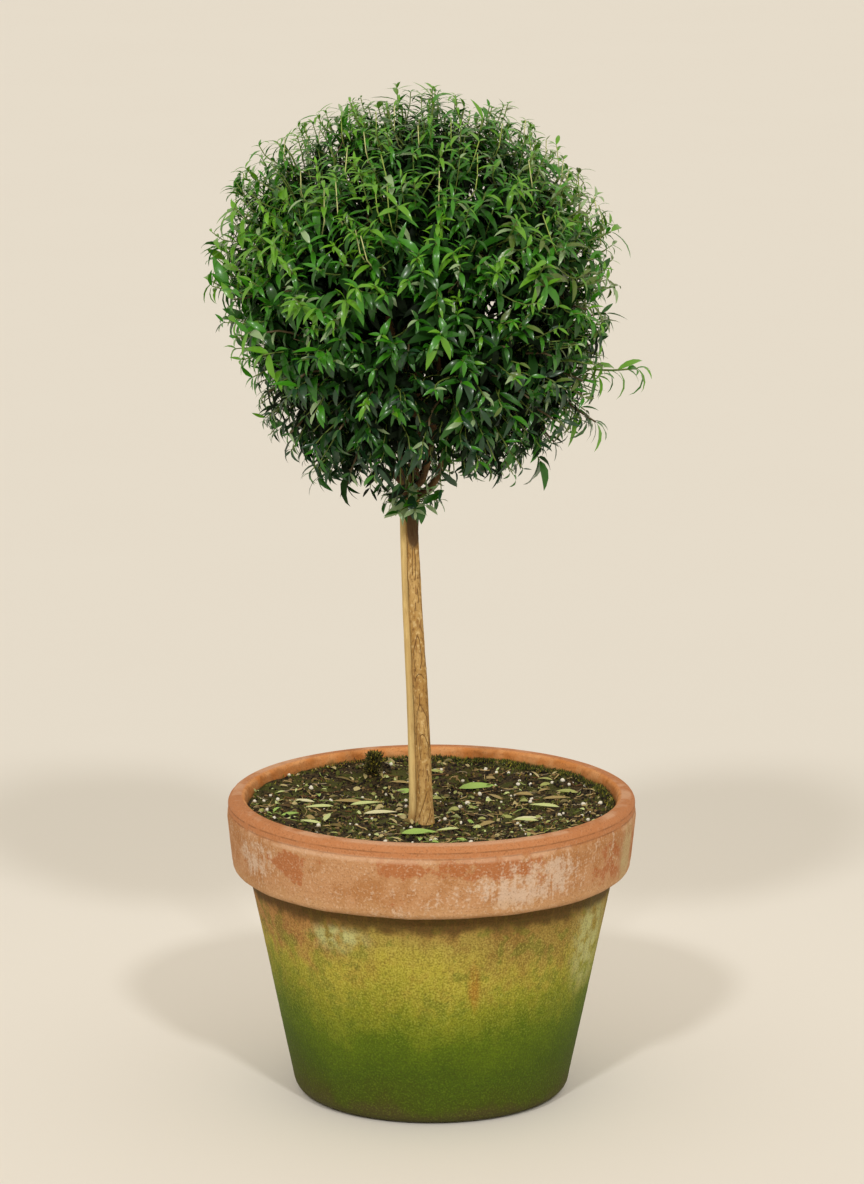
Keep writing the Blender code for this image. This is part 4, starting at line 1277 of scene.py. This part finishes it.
def makeSoil():
    s = soil
    edge = boreRadius(s["wallHeight"]) - s["wallGap"]
    turns = [heading(math.tau * step / s["steps"]) for step in range(s["steps"])]
    rings = []
    for row in range(int(edge / s["ring"]) + 1):
        radius = max(s["centreRadius"], edge * row / int(edge / s["ring"]))
        rings.append([onSoil(out.x, out.y) for out in (turn * radius for turn in turns)])
    wallFoot = s["bottom"] + s["bottomRounding"]
    low = boreRadius(wallFoot) - s["bottomGap"]
    under = [
        (edge - 0.001, 0.205), (low, wallFoot), (low - s["bottomRounding"], s["bottom"]),
        (s["centreRadius"], s["bottom"]),
    ]
    rings += [[turn * radius + upward * height for turn in turns] for radius, height in under]
    f = Finish("pottingSoil", {"Specular IOR Level": 0.2})
    crumb = f.grain(0.0022, 4, shift=3)
    fine = f.grain(0.0007, 3, shift=6)
    colour = f.coats(f.blend(s["shades"], "dark", "brown", crumb.between(0.36, 0.62)), s["shades"], {
        "dry": f.grain(0.02, 5).between(0.54, 0.7) * 0.5,
        "mossy": f.grain(0.016, 4, shift=8).between(0.46, 0.6) * 0.65,
        "fleck": fine.between(0.6, 0.72) * 0.6,
    })
    finish = f.wear(colour, 0.86 + fine * 0.14, crumb + fine * 0.5, 0.0011)
    addPiece("pottingSoil", gridMesh("pottingSoil", rings), [finish], ["soil"])


def lumpShape(rng, detail):
    bm = bmesh.new()
    bmesh.ops.create_icosphere(bm, subdivisions=detail, radius=1.0)
    shift = Vector([rng.uniform(0, 50) for _ in range(3)])
    points = [v.co * (1 + 0.42 * noise.noise(v.co * 1.1 + shift)) for v in bm.verts]
    faces = [tuple(v.index for v in face.verts) for face in bm.faces]
    bm.free()
    return points, faces


def strewLumps(name, kind, shades, rng):
    shapes = [lumpShape(rng, kind["detail"]) for _ in range(kind["shapes"])]
    lumps = Bundle()
    for _ in range(kind["count"]):
        x, y = scatter(rng)
        size = rng.uniform(*kind["size"])
        if "squash" in kind:
            size *= rng.uniform(0.5, 1.0)
        turn = Matrix.Rotation(rng.uniform(0, math.tau), 3, noise.random_unit_vector())
        points, faces = rng.choice(shapes)
        at = onSoil(x, y, size * kind["sink"])
        stretch, slot = Vector((1, 1, 1)), 0
        if "squash" in kind:
            stretch = Vector((1, *(rng.uniform(*squash) for squash in kind["squash"])))
            slot = rng.choice(kind["deal"])
        lumps.add([at + turn @ (point * stretch) * size for point in points], faces, slot)
    addPiece(name, lumps.mesh(name), plains(shades))


def strewBits(rng):
    b = bits
    bundle = Bundle()
    last = b["points"] - 1
    for _ in range(b["count"]):
        x, y = scatter(rng)
        length = rng.uniform(*b["length"]) * rng.uniform(0.3, 1.0)
        way = rng.uniform(0, math.tau)
        bend = rng.uniform(-b["bend"], b["bend"])
        radius = rng.uniform(*b["radius"])
        line = []
        for step in range(b["points"]):
            out = heading(way + bend * step / last) * length * (step / last - 0.5)
            line.append(onSoil(x + out.x, y + out.y, radius + b["lift"] * rng.random()))
        bundle.tube(line, [radius] * last + [radius * 0.6], 4, rng.choice(b["deal"]))
    addPiece("twigBits", bundle.mesh("twigBits"), plains(b["shades"]))


def strewLeaves(rng):
    p = fallen
    leaves = Leaves()
    for x, y, length, turn, colour in p["placed"]:
        out = heading(math.radians(turn), p["placedRise"])
        upper = squared(Vector((0, -0.3, 1)), out)
        wide = p["freshWidth"] if colour == "fresh" else p["otherWidth"]
        leaves.add(onSoil(x, y, p["placedLift"]), out, upper, length, length * wide, p["placedSag"], colour)
    for kind in (p["shreds"], p["leaves"]):
        for _ in range(kind["count"]):
            x, y = scatter(rng, *kind["ring"])
            length = rng.uniform(*kind["length"])
            out = heading(rng.uniform(0, math.tau), rng.uniform(*kind["rise"]))
            upper = squared(Vector((0, kind["lean"], 1)) + noise.random_vector() * kind["loose"], out)
            colour = rng.choice(kind["deal"])
            width = length * rng.uniform(*kind["width"])
            sag = rng.uniform(*kind["sag"])
            leaves.add(onSoil(x, y, kind["lift"]), out, upper, length, width, sag, colour)
    shades = {"fallen" + name.title(): p["shades"][name] for name in leafNames}
    addPiece("fallenLeaves", leaves.mesh("fallenLeaves"), plains(shades, 0.6))


def blade(bundle, root, tip, width, slot):
    side = (tip - root).orthogonal().normalized() * width
    other = side.cross((tip - root).normalized())
    base = [root + side, root - side * 0.5 + other * 0.87, root - side * 0.5 - other * 0.87]
    bundle.add([*base, tip], [(0, 1, 3), (1, 2, 3), (2, 0, 3)], slot)


def makeMoss(rng):
    m = moss
    bundle = Bundle()
    for _ in range(m["count"]):
        lift, deal = 0.0, m["deal"]
        if rng.random() < m["wallShare"]:  # against the wall, thickest at the back
            azimuth = rng.gauss(math.radians(m["wallAzimuth"]), math.radians(m["wallSpread"]))
            radius = boreRadius(soil["wallHeight"]) - m["wallGap"] - abs(rng.gauss(0, m["wallDepth"]))
            x, y = heading(azimuth).x * radius, heading(azimuth).y * radius
            lift, deal = m["wallLift"] * rng.random(), m["wallDeal"]
        else:
            x, y = scatter(rng, 0.01)
            if noise.noise(Vector((x, y, 0.7)) / m["patch"]) < m["patchLeast"]:
                continue
        root = onSoil(x, y, lift)
        lean = Vector((rng.gauss(0, 0.5), rng.gauss(0, 0.5), 1.0)).normalized()
        tip = root + lean * rng.uniform(*m["blade"])
        blade(bundle, root, tip, rng.uniform(*m["width"]), rng.choice(deal))
    foot = onSoil(*m["clump"])
    for _ in range(m["clumpBlades"]):
        rise = rng.random() ** 0.8
        wide = m["clumpRadius"] * (1 - m["clumpTaper"] * rise)
        wide += m["knob"] * bell(rise, m["knobHeight"], m["knobWidth"])
        out = heading(rng.uniform(0, math.tau))
        root = foot + out * wide * rng.uniform(0.2, 1.0)
        root += Vector((m["clumpLean"] * rise, 0, m["clumpHeight"] * rise))
        lean = (out * 0.8 + upward * 0.8 + noise.random_vector() * 0.6).normalized()
        tip = root + lean * rng.uniform(*m["clumpBlade"])
        blade(bundle, root, tip, m["width"][1], rng.choice(m["clumpDeal"]))
    addPiece("moss", bundle.mesh("moss", False), plains(m["shades"]))


makeSoil()
litterRng = random.Random(21)
strewLumps("soilCrumbs", crumbs, crumbs["shades"], litterRng)
strewLumps("perlite", perlite, {"perlite": perlite["shade"]}, litterRng)
strewBits(litterRng)
strewLeaves(litterRng)
makeMoss(random.Random(8))
print("soil made")


# Floor, light and camera

studio = {
    "floor": (219, 216, 210), "floorDark": (214, 210, 203), "floorPaintedLight": (227, 223, 216),
    "nearEdge": (0.9, 0.25), "floorRadius": 16.0, "floorSteps": 128, "floorDrop": 0.0004,
    "sky": (229, 219, 202), "fill": 1.0,
    # azimuth from the front, height, strength and softness, with angles in degrees
    "suns": [(-19, 38, 0.88, 5), (19, 38, 0.88, 5)],
    "sunColour": (1.0, 0.99, 0.97),
    "cameraSide": 0.0003, "cameraBack": 4.0, "cameraHeight": 1.275, "tilt": 12.69, "lens": 171.1,
}


def makeFloor():
    s = studio
    bm = bmesh.new()
    bmesh.ops.create_circle(bm, cap_ends=True, segments=s["floorSteps"], radius=s["floorRadius"])
    bmesh.ops.translate(bm, verts=bm.verts, vec=(0, 0, -s["floorDrop"]))
    mesh = bpy.data.meshes.new("floor")
    bm.to_mesh(mesh)
    bm.free()
    floor = addObject("floor", mesh)
    f = Finish("paleFloor", {"Roughness": 0.75, "Specular IOR Level": 0.2})
    tone = f.blend(s, "floor", "floorDark", f.grain(0.25, 3) * 0.3)
    # painted light: the floor lighter close to the pot
    near = f.vector("LENGTH", f.place, out=1).between(*s["nearEdge"])
    f.feed(f.surface.inputs["Base Color"], f.coats(tone, s, {"floorPaintedLight": near}))
    mesh.materials.append(f.material)


def makeStudio():
    s = studio
    for azimuth, height, strength, softness in s["suns"]:
        data = bpy.data.lights.new("sun", "SUN")
        data.energy = strength
        data.angle = math.radians(softness)
        data.color = s["sunColour"]
        addObject("sun", data).rotation_euler = (math.radians(90 - height), 0, math.radians(azimuth))
    world = bpy.data.worlds.new("studio")
    bpy.context.scene.world = world
    world.use_nodes = True
    background = world.node_tree.nodes["Background"]
    background.inputs["Color"].default_value = (*linear(*s["sky"]), 1.0)
    background.inputs["Strength"].default_value = s["fill"]
    data = bpy.data.cameras.new("camera")
    data.lens = s["lens"]
    camera = addObject("camera", data)
    camera.location = (s["cameraSide"], -s["cameraBack"], s["cameraHeight"])
    camera.rotation_euler = (math.radians(90 - s["tilt"]), 0, 0)
    bpy.context.scene.camera = camera
    bpy.context.scene.view_settings.view_transform = "Standard"


makeFloor()
makeStudio()
print("studio made")
